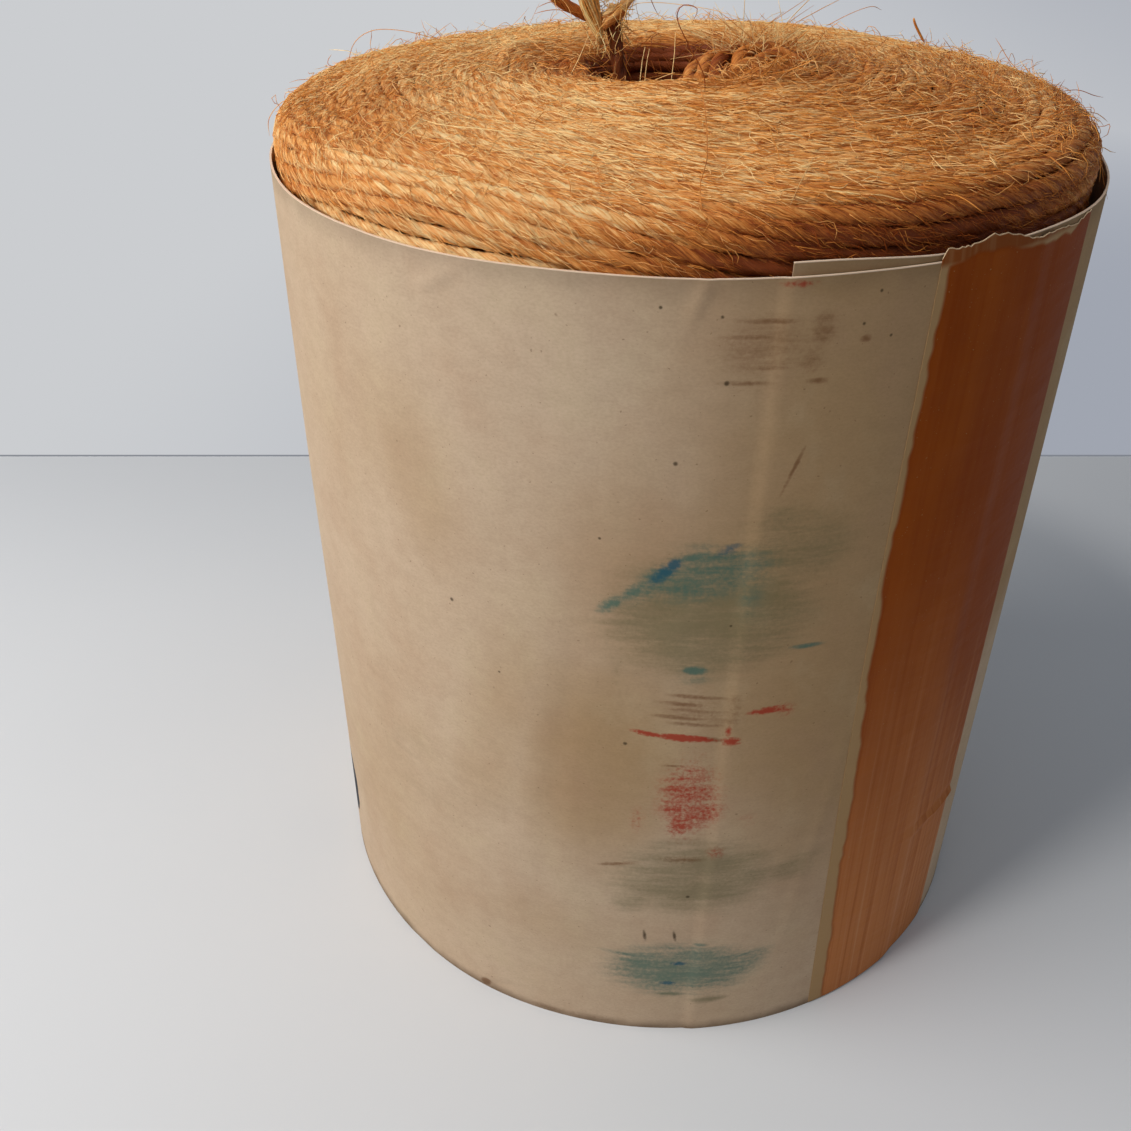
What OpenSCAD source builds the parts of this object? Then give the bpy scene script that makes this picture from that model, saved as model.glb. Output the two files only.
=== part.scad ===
// Tubeless ball of single-ply natural twine in a loose paper sleeve.
// Millimetres, +Z up. The origin is the centre of the sleeve's lower edge, on the floor.

/* [Twine] */
// Diameter of the twine
twine_d = 2.95; // [2.6:0.05:3.4]
// Least gap left between neighbouring turns of the top layer
turn_gap = 0.5; // [0.45:0.05:1]
// Gap between the top layer of turns and the body it lies on
seat_gap = 0.2; // [0.15:0.05:0.4]
// Bend radius where the top layer's two ends turn down
end_bend_r = 3; // [2.4:0.2:4]

/* [Ball] */
// Outside diameter of the wound ball
ball_d = 191; // [170:1:210]
// Height of the ball's straight side, up to the shoulder
side_h = 218; // [180:1:240]
// Radius of the rounded shoulder between side and dome
shoulder_r = 8; // [6:0.5:12]
// Slope of the dome where it leaves the shoulder, in degrees
dome_slope = 10; // [8:0.5:13]
// Radius of the rounded lower edge
foot_r = 8; // [5:0.5:12]
// Diameter of the centre hole that the twine is drawn from
bore_d = 37; // [32:1:40]
// Radius of the rounded lip of the centre hole
lip_r = 7; // [5:0.5:9]
// How far the top layer runs down the side below the sleeve's rim
run_below_rim = 1; // [0.5:0.5:4]
// How far the top layer runs down into the centre hole below the lip
bore_run = 2; // [1:0.5:6]

/* [Sleeve] */
// How far the sleeve's rim lies below the ball's shoulder
rim_drop = 4; // [2:0.5:12]
// Thickness of the sleeve's paper
paper_t = 0.45; // [0.3:0.05:0.8]
// Gap all round between a centred ball and the sleeve
sleeve_gap = 2; // [1.5:0.1:4]
// Gap left where the ball leans against the sleeve
lean_gap = 0.3; // [0.25:0.05:0.5]
// Direction in which the ball leans, in degrees from +X
lean_angle = -127; // [-180:1:180]
// Angle of the sheet's inner end, in degrees from +X
lap_start = -83; // [-88:1:-80]
// Overlap of the sheet's two ends, in degrees
lap_angle = 33; // [28:1:36]
// Air between the two layers of the overlap
lap_gap = 0.15; // [0.1:0.05:0.3]
// Height by which the sheet's inner end stands above the rim
lap_rise = 2.5; // [1:0.5:4]

/* [Tape] */
// Width of the packing tape that closes the sleeve
tape_w = 50; // [46:1:54]
// Thickness of the tape
tape_t = 0.15; // [0.1:0.05:0.3]
// Angle of the tape's first edge, in degrees from +X
tape_start = -66; // [-68:0.5:-64]
// Gap between the tape's lower end and the floor
tape_foot = 0.5; // [0.5:0.1:2]
// Height of the torn end of the tape that stands above the rim
tape_torn_h = 4; // [2:0.5:6]
// Width of the torn end that stands above the rim
tape_torn_w = 25; // [15:1:30]

/* [Pull end] */
// Diameter of the knot's body
knot_d = 6.4; // [6:0.1:8]
// Height of the knot's body
knot_h = 6; // [5:0.5:8]
// Length of the frayed end of the twine
fray_len = 26; // [18:1:32]
// Width of the frayed end at its tip
fray_tip_d = 6; // [4:0.5:8]

/* [Hidden] */
$fn = 96;

// Colours
twine_tan = [0.80, 0.60, 0.34];
twine_pale = [0.88, 0.72, 0.46];
twine_brown = [0.62, 0.40, 0.20];
paper_buff = [0.76, 0.68, 0.56];
tape_amber = [0.60, 0.36, 0.18, 0.9];

// Radii that the pieces share
twine_r = twine_d / 2;
ball_r = ball_d / 2;
bore_r = bore_d / 2;
side_layer_r = ball_r - twine_d;
bore_layer_r = bore_r + twine_d;

// The ball leans against one side of the loose sleeve
lean = sleeve_gap - lean_gap;
ball_shift = [lean * cos(lean_angle), lean * sin(lean_angle), 0];

// The dome is a sphere centred on the axis, blended into shoulder and lip
dome_r = (ball_r - shoulder_r) / sin(dome_slope) + shoulder_r;
dome_z = side_h - (dome_r - shoulder_r) * cos(dome_slope);
lip_slope = asin((bore_r + lip_r) / (dome_r - lip_r));
lip_z = dome_z + (dome_r - lip_r) * cos(lip_slope);

// The top layer's line, from the centre hole to the side, is five stretches:
// bore, lip, dome, shoulder and side. Each entry is where that stretch ends.
degree = PI / 180;
bore_end = bore_run;
lip_end = bore_end + (lip_r - twine_r) * (90 + lip_slope) * degree;
dome_end = lip_end + (dome_r - twine_r) * (dome_slope - lip_slope) * degree;
shoulder_end = dome_end + (shoulder_r - twine_r) * (90 - dome_slope) * degree;
side_run = rim_drop + run_below_rim;
line_len = shoulder_end + side_run;

// Turns of the top layer and the rings of its tube
most_turns = 24;
rings_per_turn = 24;
tube_sides = 6;
turns = min(most_turns, floor(line_len / (twine_d + turn_gap)));
ring_count = turns * rings_per_turn;
bend_steps = 3;
chord_sag = 1 - cos(180 / rings_per_turn);

// Where the two ends of the top layer stand
bore_top = lip_z - bore_run - end_bend_r - twine_d;
side_top = side_h - side_run - end_bend_r - twine_d;

// Sleeve, with the angles over which its outline is stepped and eased up to the overlap
sleeve_h = side_h - rim_drop;
sleeve_in_r = ball_r + sleeve_gap;
lap_lift = paper_t + lap_gap;
sheet_step = 3;
lap_ease = 50;

// Tape, which lies a little off the paper and drops past the sheet's outer end
tape_bed = 0.1;
tape_angle = tape_w / sleeve_in_r / degree;
tape_step = 1;
tape_drop = 4;

// Route of the twine's inner end, from the wall of the centre hole up to the knot
tail_sides = 8;
tail_route = [
    [-17.5, -1.5, 150], [-17.5, -1.5, 157], [-17.5, -1.5, 164], [-17.4, -1.5, 171],
    [-17.2, -1.4, 178], [-16.9, -1.4, 185], [-16.5, -1.3, 192], [-16.0, -1.2, 199],
    [-15.5, -1.1, 206], [-15.0, -0.9, 213], [-14.7, -0.7, 220], [-15.0, -0.4, 227],
    [-16.0, -0.2, 233], [-17.0, 0, 237.5]
];

// Knot and the loop tied above it
knot_at = [-17.6, 0, 239.5];
loop_route = [
    [-15.8, 0, 240.5], [-11.0, 0.6, 244.0], [-5.5, 1.2, 248.5], [-1.5, 1.6, 255.0],
    [-0.5, 1.8, 262.5], [-2.5, 1.8, 270.0], [-7.5, 1.6, 276.5], [-14.0, 1.2, 280.5],
    [-21.5, 0.6, 281.5], [-29.0, 0, 279.5], [-35.0, -0.6, 275.0], [-38.8, -1.0, 268.5],
    [-39.8, -1.2, 261.0], [-38.0, -1.0, 253.5], [-33.0, -0.6, 247.0], [-26.0, -0.2, 242.3],
    [-19.6, 0, 240.0]
];
fray_lean = [-27, 8];

function unit(v) = v / norm(v);

// Angle of the outward normal at a distance along the top layer's line, from +Z towards the side
function line_angle(s) =
    s < bore_end ? -90 :
    s < lip_end ? -90 + (s - bore_end) / (lip_r - twine_r) / degree :
    s < dome_end ? lip_slope + (s - lip_end) / (dome_r - twine_r) / degree :
    s < shoulder_end ? dome_slope + (s - dome_end) / (shoulder_r - twine_r) / degree : 90;

// Outward normal [r, z] for a normal's angle
function normal_rz(a) = [sin(a), cos(a)];

// Point [r, z] at a distance along the line, sunk below the outer surface by depth
function line_rz(s, depth = twine_r) =
    let (n = normal_rz(line_angle(s)))
    s < bore_end ? [bore_r, lip_z - bore_run + s] - depth * n :
    s < lip_end ? [bore_r + lip_r, lip_z] + (lip_r - depth) * n :
    s < dome_end ? [0, dome_z] + (dome_r - depth) * n :
    s < shoulder_end ? [ball_r - shoulder_r, side_h] + (shoulder_r - depth) * n :
    [ball_r, side_h - (s - shoulder_end)] - depth * n;

// Depth of the seat below the outer surface, with room for the tube's straight facets
function seat_depth(s) =
    let (r = line_rz(s)[0], outward = max(0, normal_rz(line_angle(s))[0]))
    twine_d + seat_gap + outward * r * chord_sag;

// Places a profile point [r, z] at an angle round the axis
function around(rz, a) = [rz[0] * cos(a), rz[0] * sin(a), rz[1]];

// One ring of the tube: [centre, normal, direction] at ring number i
function turn_ring(i) =
    let (a = 360 * i / rings_per_turn,
         s = line_len * i / ring_count,
         step = line_len / ring_count,
         n = normal_rz(line_angle(s)),
         ahead = around(line_rz(s + step / 2), a + 180 / rings_per_turn),
         behind = around(line_rz(s - step / 2), a - 180 / rings_per_turn))
    [around(line_rz(s), a), around(n, a), unit(ahead - behind)];

// Rings of an end that turns down from the line: way is -1 before its start, 1 after its end
function end_ring(s, a, way, u, drop) =
    let (rz = line_rz(s),
         n = normal_rz(line_angle(s)),
         b = a + way * end_bend_r * sin(u) / rz[0] / degree,
         z = rz[1] - end_bend_r * (1 - cos(u)) - drop)
    [around([rz[0], z], b), around(n, b), cos(u) * [-sin(b), cos(b), 0] - [0, 0, way * sin(u)]];

function turn_rings() =
    let (last = 360 * turns)
    concat(
        [end_ring(0, 0, -1, 90, twine_d)],
        [for (k = [bend_steps:-1:1]) end_ring(0, 0, -1, 90 * k / bend_steps, 0)],
        [for (i = [0:ring_count]) turn_ring(i)],
        [for (k = [1:bend_steps]) end_ring(line_len, last, 1, 90 * k / bend_steps, 0)],
        [end_ring(line_len, last, 1, 90, twine_d)]
    );

// Rings along a list of route points, with their normals kept square to the view from the front
function route_rings(route) =
    [for (i = [0:len(route) - 1])
        let (d = unit(route[min(i + 1, len(route) - 1)] - route[max(i - 1, 0)]))
        [route[i], unit([0, 1, 0] - d[1] * d), d]];

// Corner points of one ring
function ring_points(ring, sides, r) =
    let (side = cross(ring[2], ring[1]))
    [for (k = [0:sides - 1]) ring[0] + r * (cos(360 * k / sides) * ring[1] + sin(360 * k / sides) * side)];

// Round tube through a list of rings, with triangle faces
module tube(rings, sides, r) {
    last = len(rings) - 1;
    points = [for (ring = rings) each ring_points(ring, sides, r)];
    walls = [for (i = [0:last - 1], k = [0:sides - 1])
        let (a = i * sides + k, b = i * sides + (k + 1) % sides)
        each [[a, a + sides, b + sides], [a, b + sides, b]]];
    first_corner = last * sides;
    start_cap = [for (k = [1:sides - 2]) [0, k, k + 1]];
    end_cap = [for (k = [1:sides - 2]) [first_corner, first_corner + k + 1, first_corner + k]];
    polyhedron(points, concat(walls, start_cap, end_cap));
}

// Least distance between the surfaces of turns that aren't next to each other along the twine
function least_gap(rings) =
    let (half_turn = rings_per_turn / 2, last = len(rings) - 1)
    min([for (i = [0:last - half_turn], j = [i + half_turn:last]) norm(rings[i][0] - rings[j][0])]) - twine_d;

// Body of the ball under its outer layers, solid apart from the centre hole
module wound_core() {
    seat_steps = 40;
    seat = [for (k = [0:seat_steps])
        let (s = line_len * k / seat_steps)
        line_rz(s, seat_depth(s))];
    foot = [for (a = [-90:15:0]) [ball_r - foot_r + foot_r * cos(a), foot_r + foot_r * sin(a)]];
    color(twine_tan)
        translate(ball_shift)
            rotate_extrude()
                polygon(concat(
                    [[bore_layer_r, 0]],
                    foot,
                    [[side_layer_r, foot_r], [side_layer_r, side_top], [seat[seat_steps][0], side_top]],
                    [for (k = [seat_steps:-1:0]) seat[k]],
                    [[seat[0][0], bore_top], [bore_layer_r, bore_top]]
                ));
}

// Innermost layer, which the twine is drawn from
module bore_turns() {
    color(twine_brown)
        translate(ball_shift)
            rotate_extrude()
                translate([bore_r, 0])
                    square([twine_d, bore_top]);
}

// Outermost layer round the side
module side_turns() {
    color(twine_tan)
        translate(ball_shift + [0, 0, foot_r])
            rotate_extrude()
                translate([side_layer_r, 0])
                    square([twine_d, side_top - foot_r]);
}

// Outermost layer over the top: one unbroken spiral from the centre hole to the side
module top_turns() {
    rings = turn_rings();
    echo(str("top_turns: ", turns, " turns, least gap to itself ", least_gap(rings), " mm"));
    color(twine_tan)
        translate(ball_shift)
            tube(rings, tube_sides, twine_r);
}

// Inner radius of the wrapped sheet at an angle along it, from its inner end
function sheet_r(w) =
    sleeve_in_r + lap_lift * max(0, min(1, (w - 360 + lap_ease) / (lap_ease - sheet_step)));

function polar(r, a) = [r * cos(a), r * sin(a)];

// Outline of the sheet between two angles along it
module sheet_outline(from, to) {
    steps = ceil((to - from) / sheet_step);
    ways = [for (k = [0:steps]) from + (to - from) * k / steps];
    polygon(concat(
        [for (w = ways) polar(sheet_r(w) + paper_t, lap_start + w)],
        [for (k = [steps:-1:0]) polar(sheet_r(ways[k]), lap_start + ways[k])]
    ));
}

// One sheet of paper wrapped once round the ball, its inner end standing a little high
module paper_sleeve() {
    color(paper_buff) {
        linear_extrude(sleeve_h)
            sheet_outline(0, 360 + lap_angle);
        linear_extrude(sleeve_h + lap_rise)
            sheet_outline(0, lap_angle);
    }
}

// Inner radius of the tape: over both layers, then down past the sheet's outer end
function tape_r(a) =
    let (past = (a - lap_start - lap_angle) / tape_drop)
    sleeve_in_r + paper_t + tape_bed + lap_lift * (1 - max(0, min(1, past)));

// Outline of the tape from its first edge, over an angle
module tape_outline(angle) {
    steps = ceil(angle / tape_step);
    ways = [for (k = [0:steps]) tape_start + angle * k / steps];
    polygon(concat(
        [for (a = ways) polar(tape_r(a) + tape_t, a)],
        [for (k = [steps:-1:0]) polar(tape_r(ways[k]), ways[k])]
    ));
}

// Strip of tape over the sheet's outer end, with its torn upper end
module packing_tape() {
    color(tape_amber)
        translate([0, 0, tape_foot]) {
            linear_extrude(sleeve_h - tape_foot)
                tape_outline(tape_angle);
            linear_extrude(sleeve_h - tape_foot + tape_torn_h)
                tape_outline(tape_angle * tape_torn_w / tape_w);
        }
}

// Free stretch of the twine's inner end
module twine_tail() {
    color(twine_brown)
        tube(route_rings(tail_route), tail_sides, twine_r);
}

// Overhand knot, two wraps round a short body
module tail_knot() {
    wrap_r = knot_d / 2;
    color(twine_brown)
        translate(knot_at) {
            cylinder(d = knot_d, h = knot_h, center = true);
            for (way = [-1, 1])
                translate([0, 0, way * (knot_h / 2 - twine_r)])
                    rotate_extrude()
                        translate([wrap_r, 0])
                            circle(r = twine_r, $fn = 32);
        }
}

// Loop for the finger, tied above the knot
module pull_loop() {
    color(twine_brown)
        tube(route_rings(loop_route), tail_sides, twine_r);
}

// Untwisted end of the twine, spreading out of the knot
module frayed_end() {
    color(twine_pale)
        translate(knot_at)
            rotate([fray_lean[1], fray_lean[0], 0])
                cylinder(d1 = twine_d, d2 = fray_tip_d, h = fray_len);
}

wound_core();
bore_turns();
side_turns();
top_turns();
paper_sleeve();
packing_tape();
twine_tail();
tail_knot();
pull_loop();
frayed_end();
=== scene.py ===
"""Tubeless ball of single-ply natural twine in a loose paper sleeve.

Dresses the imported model. Metres, +Z up, origin at the centre of the sleeve's
lower edge on the floor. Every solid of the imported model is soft, so each one is
replaced here: by wound twine, a wrapped sheet, a strip of tape and a pull end.
"""

import logging
import math
from dataclasses import dataclass, field
from enum import Enum, IntEnum
from typing import Any, Callable, Sequence

import bpy
import numpy as np
from bpy.types import Material, Node, NodeSocket, Object
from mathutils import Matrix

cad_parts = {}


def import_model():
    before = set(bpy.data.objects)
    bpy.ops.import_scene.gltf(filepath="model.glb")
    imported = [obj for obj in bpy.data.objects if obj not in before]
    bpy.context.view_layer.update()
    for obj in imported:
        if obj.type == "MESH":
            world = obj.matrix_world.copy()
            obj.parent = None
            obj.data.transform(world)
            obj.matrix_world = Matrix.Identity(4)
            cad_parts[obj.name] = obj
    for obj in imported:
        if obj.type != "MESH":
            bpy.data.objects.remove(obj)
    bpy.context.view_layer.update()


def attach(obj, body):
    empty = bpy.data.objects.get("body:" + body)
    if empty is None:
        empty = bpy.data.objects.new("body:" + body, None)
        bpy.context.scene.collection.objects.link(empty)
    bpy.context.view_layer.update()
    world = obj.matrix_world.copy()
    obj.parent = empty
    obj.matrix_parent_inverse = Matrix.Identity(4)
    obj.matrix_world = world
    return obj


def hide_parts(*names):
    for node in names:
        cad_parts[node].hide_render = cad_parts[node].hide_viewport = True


LOG = logging.getLogger("twine_ball")
MM = 0.001
TURN = 2 * math.pi
# Edges that turn by more than this many degrees stay sharp
SHARP_EDGE = 40.0

Array = np.ndarray
Chance = np.random.Generator
Colour = tuple[float, float, float, float]


class Body(Enum):
    """The bodies that move against each other."""

    BALL = "ball"
    SLEEVE = "sleeve"
    PULL_END = "pull_end"


class Slot(Enum):
    """The material slots of the part's record."""

    TWINE = "twine"
    TWINE_DARK = "twine_dark"
    TWINE_PALE = "twine_pale"
    PAPER = "paper"
    TAPE = "tape"


class Pigment(Enum):
    """What has rubbed off on the paper, and its ageing tint and painted shade, by the name of the attribute
    that carries it.
    """

    BLUE = "rubbed_blue"
    TEAL = "rubbed_teal"
    RED = "rubbed_red"
    GREY = "rubbed_grey"
    BROWN = "rubbed_brown"
    # Ageing tint, laid on partly as painted shade on the side turned from the lamps
    AGED_AND_SHADED = "aged"
    DARK = "dark_patch"
    SPECK = "speck"


class Seed(IntEnum):
    """Where each source of chance starts, so that every run gives the same."""

    SWAY = 11
    SWELL = 12
    TOP_TURNS = 21
    BORE_TURNS = 22
    SIDE_TURNS = 31
    SLACK_STRAND = 40
    FIBRES = 51
    SLACK_LINE = 60
    TAPE_TEAR = 71
    TAPE_BROWN = 72
    KNOT = 82
    FRAY = 83
    TAIL = 84
    LOOP = 85
    TAIL_FUZZ = 86
    LOOP_FUZZ = 87
    KNOT_FUZZ = 88
    SIDE_FIBRES = 91
    HOLE_FIBRES = 92
    TUFT = 95

    def start(self, further: int = 0) -> Chance:
        """Starts the source, or one that lies further on."""
        return np.random.default_rng(self.value + further)


# ---------------------------------------------------------------- small tools


def tint(red: int, green: int, blue: int) -> Colour:
    """Turns a colour of 0 to 255 a channel into the linear, opaque colour that a shader takes."""
    linear = [((c / 255 + 0.055) / 1.055) ** 2.4 for c in (red, green, blue)]
    return (linear[0], linear[1], linear[2], 1.0)


def smooth_step(value: Array, low: float, high: float) -> Array:
    """Rises softly from 0, up to low, to 1, from high on."""
    share = np.clip((value - low) / (high - low), 0, 1)
    return share * share * (3 - 2 * share)


def mm(*lengths: float) -> tuple[float, ...]:
    """Gives lengths in metres from millimetres."""
    return tuple(length * MM for length in lengths)


def signed(degrees: Array) -> Array:
    """Gives the same directions in degrees from -180 to 180."""
    return (degrees + 180) % 360 - 180


def height_at(outline: Sequence[tuple[float, float]], place: Array) -> Array:
    """Gives an outline's height at places along it, in metres; the outline is in millimetres."""
    rows = np.array(outline) * MM
    return np.interp(place, rows[:, 0], rows[:, 1])


def unit(vectors: Array) -> Array:
    """Scales vectors to a length of one."""
    return vectors / np.maximum(np.linalg.norm(vectors, axis=-1, keepdims=True), 1e-12)


def run_of(points: Array) -> Array:
    """Distance along a line of points, from its first point to each of them."""
    steps = np.linalg.norm(np.diff(points, axis=0), axis=1)
    return np.concatenate([[0.0], np.cumsum(steps)])


def drift(rng: Chance, count: int, every: int) -> Array:
    """Random values that change smoothly from one to the next.

    Args:
        rng: Source of chance.
        count: How many values.
        every: How many values lie between two independent ones.

    Returns:
        The values, between -1 and 1.
    """
    knots = rng.uniform(-1, 1, count // every + 3)
    place = np.arange(count) / every
    before = place.astype(int)
    share = smooth_step(place - before, 0, 1)
    return knots[before] * (1 - share) + knots[before + 1] * share


def smooth_route(points: Sequence[Sequence[float]], spacing: float) -> Array:
    """Draws one smooth curve through given points.

    Args:
        points: The points, in metres.
        spacing: Distance between the points of the result.

    Returns:
        Evenly spaced points on the curve.
    """
    given = np.array(points, float)
    padded = np.vstack([2 * given[0] - given[1], given, 2 * given[-1] - given[-2]])
    share = np.linspace(0, 1, 12, endpoint=False)[:, None]
    pieces = []
    for a, b, c, d in zip(padded, padded[1:], padded[2:], padded[3:]):
        square = (2 * a - 5 * b + 4 * c - d) * share**2
        cube = (3 * b - a - 3 * c + d) * share**3
        pieces.append(0.5 * (2 * b + (c - a) * share + square + cube))
    curve = np.vstack([*pieces, given[-1:]])
    return even_points(curve, max(2, round(run_of(curve)[-1] / spacing)) + 1)


def even_points(line: Array, count: int) -> Array:
    """Spaces points evenly along a line.

    Args:
        line: Points along the line.
        count: Number of points wanted.

    Returns:
        The points.
    """
    run = run_of(line)
    even = np.linspace(0, run[-1], count)
    return np.stack([np.interp(even, run, line[:, i]) for i in range(3)], axis=1)


def mesh_object(name: str, points: Array, faces: list) -> Object:
    """Makes a smooth object of points and faces.

    Args:
        name: The piece's name.
        points: Its points, in metres.
        faces: Its faces, as lists of point numbers.

    Returns:
        The new object, at the origin.
    """
    mesh = bpy.data.meshes.new(name)
    mesh.from_pydata(points.tolist(), [], faces, shade_flat=False)
    mesh.update()
    piece = bpy.data.objects.new(name, mesh)
    bpy.context.scene.collection.objects.link(piece)
    return piece


def paint(piece: Object, name: str, values: Array) -> None:
    """Stores a number for each point of a piece, under an attribute's name."""
    layer = piece.data.attributes.new(name, "FLOAT", "POINT")
    layer.data.foreach_set("value", np.ascontiguousarray(values, np.float32).ravel())


def lay_uv(piece: Object, name: str, corners: Array) -> None:
    """Stores a UV map.

    Args:
        piece: The piece.
        name: The map's name.
        corners: Two numbers for each corner of each face.
    """
    while piece.data.uv_layers:
        piece.data.uv_layers.remove(piece.data.uv_layers[0])
    layer = piece.data.uv_layers.new(name=name)
    layer.data.foreach_set("uv", np.ascontiguousarray(corners, np.float32).ravel())


def select_none() -> None:
    """Deselects everything, so that an operator touches only what it makes."""
    bpy.ops.object.select_all(action="DESELECT")


def select_only(piece: Object) -> None:
    """Selects one object, and makes it the active one.

    Args:
        piece: The object.
    """
    select_none()
    piece.select_set(True)
    bpy.context.view_layer.objects.active = piece


def flat_grid(name: str, across: Array, rows: int) -> tuple[Object, Array, Array]:
    """Adds a flat grid, to be bent into a sheet or strip.

    Args:
        name: The piece's name.
        across: Where each of its columns lies.
        rows: Number of rows.

    Returns:
        The grid, and for each point its place across and its share of the height.
    """
    select_none()
    bpy.ops.mesh.primitive_grid_add(x_subdivisions=len(across) - 1, y_subdivisions=rows, size=1.0)
    piece = bpy.context.active_object
    piece.name = piece.data.name = name
    flat = np.zeros(len(piece.data.vertices) * 3, np.float32)
    piece.data.vertices.foreach_get("co", flat)
    flat = flat.reshape(-1, 3).astype(float)
    place = np.interp(flat[:, 0] + 0.5, np.linspace(0, 1, len(across)), across)
    return piece, place, np.clip(flat[:, 1] + 0.5, 0, 1)


def wrap(piece: Object, radius: Array, degrees: Array, up: Array) -> None:
    """Bends a flat piece round the upright axis.

    Args:
        piece: The flat piece.
        radius: Radius of each point.
        degrees: Angle of each point.
        up: Height of each point.
    """
    turned = np.radians(degrees)
    places = np.column_stack([radius * np.cos(turned), radius * np.sin(turned), up])
    piece.data.vertices.foreach_set("co", places.astype(np.float32).ravel())
    piece.data.update()


def lay_flat(piece: Object, name: str, x: Array, up: Array) -> None:
    """Maps a wrapped piece by its points' places when it lay flat.

    Args:
        piece: The wrapped piece.
        name: The map's name.
        x: Distance across it, for each point.
        up: Height of each point.
    """
    corner = np.zeros(len(piece.data.loops), np.int32)
    piece.data.loops.foreach_get("vertex_index", corner)
    lay_uv(piece, name, np.column_stack([x, up])[corner])


def thicken(piece: Object, thickness: float) -> None:
    """Gives a wrapped piece its thickness, inwards, and keeps its edges sharp.

    Args:
        piece: The wrapped piece.
        thickness: Its thickness.
    """
    select_only(piece)
    modifier = piece.modifiers.new("thickness", "SOLIDIFY")
    modifier.thickness = thickness
    modifier.offset = -1.0
    bpy.ops.object.modifier_apply(modifier=modifier.name)
    bpy.ops.object.shade_smooth_by_angle(angle=math.radians(SHARP_EDGE))


def dress(piece: Object, body: Body, material: Material, node: str) -> None:
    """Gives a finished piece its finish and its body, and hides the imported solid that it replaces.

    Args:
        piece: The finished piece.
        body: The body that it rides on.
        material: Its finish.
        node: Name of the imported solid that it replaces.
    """
    piece.data.materials.clear()
    piece.data.materials.append(material)
    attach(piece, body.value)
    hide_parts(node)
    piece.data.calc_loop_triangles()
    LOG.info("%s: %d triangles on %s", piece.name, len(piece.data.loop_triangles), body.value)


# ------------------------------------------------------------------- finishes


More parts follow.
